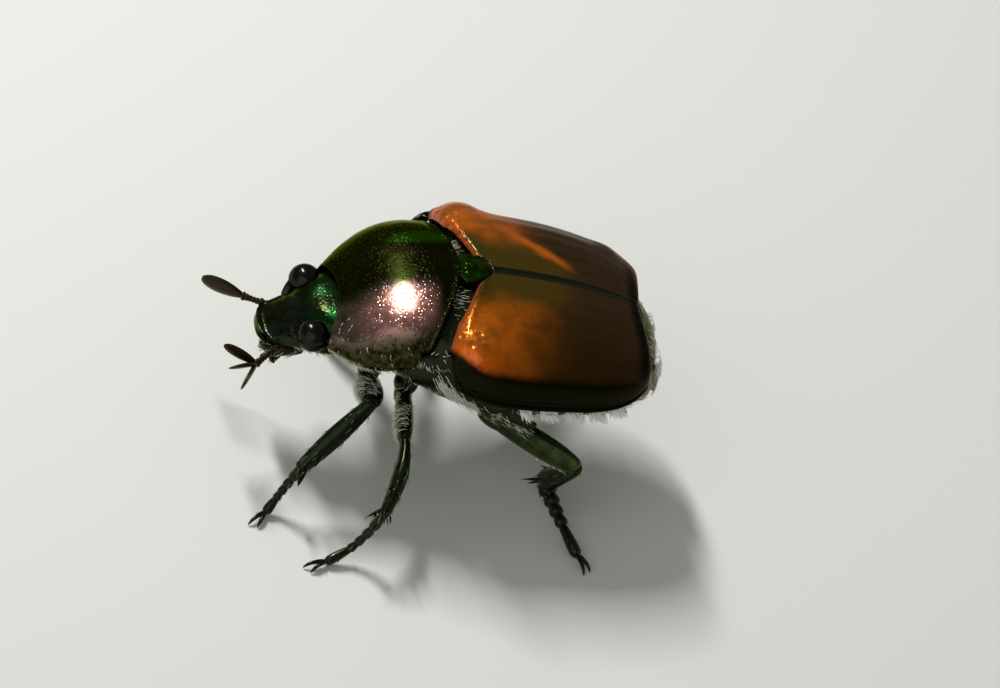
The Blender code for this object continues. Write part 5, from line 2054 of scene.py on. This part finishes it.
class BeetleColours(bpy.types.PropertyGroup):
    """Colours of horn, hair and eyes"""
    # The small shield's own green, also used for the painted reflection band across the top of the big
    # shield
    shield_green_and_reflection: colour("Shield green", "Bright green of both shields", (0.020, 0.076, 0.004))
    shield_moss: colour("Shield moss", "Dull green of the shield", (0.012, 0.017, 0.003))
    shield_dark: colour("Shield dark", "Darkest green of forebody and head", (0.011, 0.011, 0.003))
    # Painted sheen: the copper, rose glints and mauve of the shield's flank stand in for its
    # angle-dependent shine
    sheen_copper: colour("Shield copper", "Copper of the shield's flank", (0.42, 0.17, 0.11))
    sheen_rose: colour("Shield rose", "Rosy glints of the shield's flank", (0.50, 0.26, 0.24))
    sheen_mauve: colour("Shield mauve", "Dull purple of the shield's flank", (0.19, 0.14, 0.112))
    shield_olive: colour("Shield olive", "Olive low on the shield", (0.055, 0.048, 0.018))
    head_green: colour("Head green", "Green of the head and the last plate", (0.006, 0.044, 0.013))
    head_blue: colour("Face blue", "Blue-black of the face", (0.022, 0.034, 0.024))
    wing_amber: colour("Wing amber", "Glowing amber of the wing cases", (0.46, 0.100, 0.002))
    wing_brown: colour("Wing brown", "Brown clouds in the amber", (0.25, 0.062, 0.002))
    wing_olive: colour("Wing olive", "Olive beside the seam", (0.052, 0.032, 0.001))
    wing_dark: colour("Wing dark", "Dark brown of the hind half", (0.022, 0.009, 0.001))
    wing_umber: colour("Wing umber", "Redder clouds in the dark brown", (0.032, 0.012, 0.001))
    wing_red: colour("Wing red", "Red low on the shoulder", (0.72, 0.115, 0.002))
    wing_lip: colour("Wing lip", "Copper of the front edge", (0.40, 0.085, 0.018))
    wing_black: colour("Wing side", "Green-black of the sides", (0.003, 0.004, 0.001))
    wing_seam: colour("Wing seam", "Dark green of the seam", (0.003, 0.007, 0.001))
    body_green: colour("Body green", "Green sheen of breast and belly plates", (0.010, 0.018, 0.006))
    leg_green: colour("Leg green", "Green sheen of thighs and shins", (0.008, 0.022, 0.008))
    thigh_olive: colour("Thigh olive", "Olive clouds on the hind thighs", (0.045, 0.060, 0.008))
    leg_black: colour("Leg black", "Black-brown of legs, belly, feelers and mouth", (0.009, 0.008, 0.003))
    foot_black: colour("Foot black", "Black of the feet", (0.004, 0.0035, 0.002))
    foot_brown: colour("Foot brown", "Brown-black clouds on the feet", (0.010, 0.006, 0.003))
    feeler_brown: colour("Feeler brown", "Brown of feelers, mouth and bristles", (0.030, 0.011, 0.004))
    eye_black: colour("Eye black", "Black of the eyes", (0.012, 0.012, 0.010))
    eye_line: colour("Eye lines", "Lines between the eye's facets", (0.006, 0.006, 0.005))
    hair_pale: colour("Pale hair", "Paler clouds of the body hairs", (0.80, 0.77, 0.64))
    hair_grey: colour("Grey hair", "Greyer clouds of the body hairs", (0.52, 0.49, 0.40))
    tuft_white: colour("White tuft", "White of the tufts", (1.0, 0.99, 0.96))
    tuft_cream: colour("Cream tuft", "Cream shade in the tufts", (0.95, 0.93, 0.86))
    bristle_brown: colour("Bristle", "Brown clouds of the bristles", (0.07, 0.045, 0.025))


class BeetleStage(bpy.types.PropertyGroup):
    """Floor, light and camera"""
    floor_colour: colour("Floor", "Colour of the floor", (0.72, 0.72, 0.69))
    air_colour: colour("Air", "Colour of the light all round", (0.96, 1.00, 0.90))
    air_strength: amount("Air light", "Strength of that light", 0.22)
    key_way: direction("Key way", "Where the key light hangs", (-0.385, 0.56, 0.87))
    key_distance: amount("Key distance", "How far it hangs", 0.12, "LENGTH")
    key_size: amount("Key size", "Side of the light", 0.020, "LENGTH")
    key_power: amount("Key power", "Watts of the light", 0.13)
    key_stretch: amount("Key stretch", "How many times longer than wide it is", 2.3)
    key_turn: amount("Key turn", "Degrees it is turned", 60.0)
    fill_way: direction("Fill way", "Where the fill light hangs", (-0.56, -0.64, 0.50))
    fill_distance: amount("Fill distance", "How far it hangs", 0.22, "LENGTH")
    fill_size: amount("Fill size", "Side of the light", 0.26, "LENGTH")
    fill_power: amount("Fill power", "Watts of the light", 0.17)
    camera_distance: amount("Camera distance", "From camera to beetle", 0.40, "LENGTH")


class BEETLE_OT_prothorax(bpy.types.Operator):
    """Add the domed shield behind the head"""
    bl_idname = "beetle.prothorax"
    bl_label = "Prothorax"

    def execute(self, context):
        make_prothorax(context.scene.beetle_form, context.scene.beetle_colours)
        return {"FINISHED"}


class BEETLE_OT_head(bpy.types.Operator):
    """Add the head capsule and the mouth"""
    bl_idname = "beetle.head"
    bl_label = "Head and mouth"

    def execute(self, context):
        make_head(context.scene.beetle_colours)
        make_mouth(context.scene.beetle_colours)
        return {"FINISHED"}


class BEETLE_OT_eyes(bpy.types.Operator):
    """Add both eyes"""
    bl_idname = "beetle.eyes"
    bl_label = "Eyes"

    def execute(self, context):
        for name, side in SIDES.items():
            make_eye("eye_" + name, side, context.scene.beetle_colours)
        return {"FINISHED"}


class BEETLE_OT_feelers(bpy.types.Operator):
    """Add both feelers with their leafy clubs"""
    bl_idname = "beetle.feelers"
    bl_label = "Feelers"

    def execute(self, context):
        for name, side in SIDES.items():
            make_feeler("feeler_" + name, side, context.scene.beetle_colours, "antenna_" + name)
        return {"FINISHED"}


class BEETLE_OT_scutellum(bpy.types.Operator):
    """Add the small shield between the wing cases"""
    bl_idname = "beetle.scutellum"
    bl_label = "Small shield"

    def execute(self, context):
        make_scutellum(context.scene.beetle_colours)
        return {"FINISHED"}


class BEETLE_OT_wing_cases(bpy.types.Operator):
    """Add both wing cases"""
    bl_idname = "beetle.wing_cases"
    bl_label = "Wing cases"

    def execute(self, context):
        scene = context.scene
        for name, side in SIDES.items():
            make_wing_case(
                "wing_case_" + name, side, scene.beetle_form, scene.beetle_colours,
                "elytron_" + name,
            )
        return {"FINISHED"}


class BEETLE_OT_trunk(bpy.types.Operator):
    """Add hind thorax, belly and last plate"""
    bl_idname = "beetle.trunk"
    bl_label = "Trunk and belly"

    def execute(self, context):
        make_hind_thorax(context.scene.beetle_colours)
        make_belly(context.scene.beetle_form, context.scene.beetle_colours)
        make_tail_plate(context.scene.beetle_colours)
        return {"FINISHED"}


class BEETLE_OT_legs(bpy.types.Operator):
    """Add thighs, shins and feet of all six legs"""
    bl_idname = "beetle.legs"
    bl_label = "Legs"

    def execute(self, context):
        for name, leg in LEGS.items():
            for make in (make_thigh, make_shin, make_foot):
                make(name, leg, context.scene.beetle_colours)
        return {"FINISHED"}


class BEETLE_OT_body_hairs(bpy.types.Operator):
    """Add the pale hairs of breast, forebody and belly"""
    bl_idname = "beetle.body_hairs"
    bl_label = "Body hairs"

    def execute(self, context):
        for make in (make_breast_hairs, make_forebody_hairs, make_belly_hairs):
            make(context.scene.beetle_coat, context.scene.beetle_colours)
        return {"FINISHED"}


class BEETLE_OT_leg_hairs(bpy.types.Operator):
    """Add the hairs of the thighs and the bristles of shins and feet"""
    bl_idname = "beetle.leg_hairs"
    bl_label = "Leg hairs"

    def execute(self, context):
        for make in (make_thigh_hairs, make_shin_bristles):
            make(context.scene.beetle_coat, context.scene.beetle_colours)
        return {"FINISHED"}


class BEETLE_OT_tufts(bpy.types.Operator):
    """Add the white tufts and the hairs of the last plate"""
    bl_idname = "beetle.tufts"
    bl_label = "White tufts"

    def execute(self, context):
        for make in (make_side_tufts, make_tail_tufts, make_tail_fringe):
            make(context.scene.beetle_coat, context.scene.beetle_colours)
        return {"FINISHED"}


class BEETLE_OT_stage(bpy.types.Operator):
    """Add floor, lights and camera"""
    bl_idname = "beetle.stage"
    bl_label = "Stage"

    def execute(self, context):
        make_stage(context.scene.beetle_stage)
        return {"FINISHED"}


OPERATORS = (
    BEETLE_OT_prothorax, BEETLE_OT_head, BEETLE_OT_eyes, BEETLE_OT_feelers, BEETLE_OT_scutellum,
    BEETLE_OT_wing_cases, BEETLE_OT_trunk, BEETLE_OT_legs, BEETLE_OT_body_hairs,
    BEETLE_OT_leg_hairs, BEETLE_OT_tufts, BEETLE_OT_stage,
)


class BEETLE_PT_panel(bpy.types.Panel):
    """Buttons for the beetle's pieces and its settings"""
    bl_idname = "BEETLE_PT_panel"
    bl_label = "Japanese beetle"
    bl_space_type = "VIEW_3D"
    bl_region_type = "UI"
    bl_category = "Beetle"

    def draw(self, context):
        layout = self.layout
        for operator in OPERATORS:
            layout.operator(operator.bl_idname)
        for label, settings in (
            ("Form", context.scene.beetle_form), ("Coat", context.scene.beetle_coat),
            ("Colours", context.scene.beetle_colours), ("Stage", context.scene.beetle_stage),
        ):
            box = layout.box()
            box.label(text=label)
            for key in settings.__annotations__:
                box.prop(settings, key)


SETTINGS = {
    "beetle_form": BeetleForm, "beetle_coat": BeetleCoat,
    "beetle_colours": BeetleColours, "beetle_stage": BeetleStage,
}


def register():
    """Register the settings, the operators and the panel."""
    for name, group in SETTINGS.items():
        bpy.utils.register_class(group)
        setattr(bpy.types.Scene, name, PointerProperty(type=group))
    for operator in OPERATORS:
        bpy.utils.register_class(operator)
    bpy.utils.register_class(BEETLE_PT_panel)


def unregister():
    """Take all of it away again."""
    bpy.utils.unregister_class(BEETLE_PT_panel)
    for operator in reversed(OPERATORS):
        bpy.utils.unregister_class(operator)
    for name, group in SETTINGS.items():
        delattr(bpy.types.Scene, name)
        bpy.utils.unregister_class(group)


def main():
    """Add the whole beetle on its stage."""
    register()
    bpy.ops.beetle.prothorax()
    bpy.ops.beetle.head()
    bpy.ops.beetle.eyes()
    bpy.ops.beetle.feelers()
    bpy.ops.beetle.scutellum()
    bpy.ops.beetle.wing_cases()
    bpy.ops.beetle.trunk()
    bpy.ops.beetle.legs()
    bpy.ops.beetle.body_hairs()
    bpy.ops.beetle.leg_hairs()
    bpy.ops.beetle.tufts()
    bpy.ops.beetle.stage()


if __name__ == "__main__":
    main()
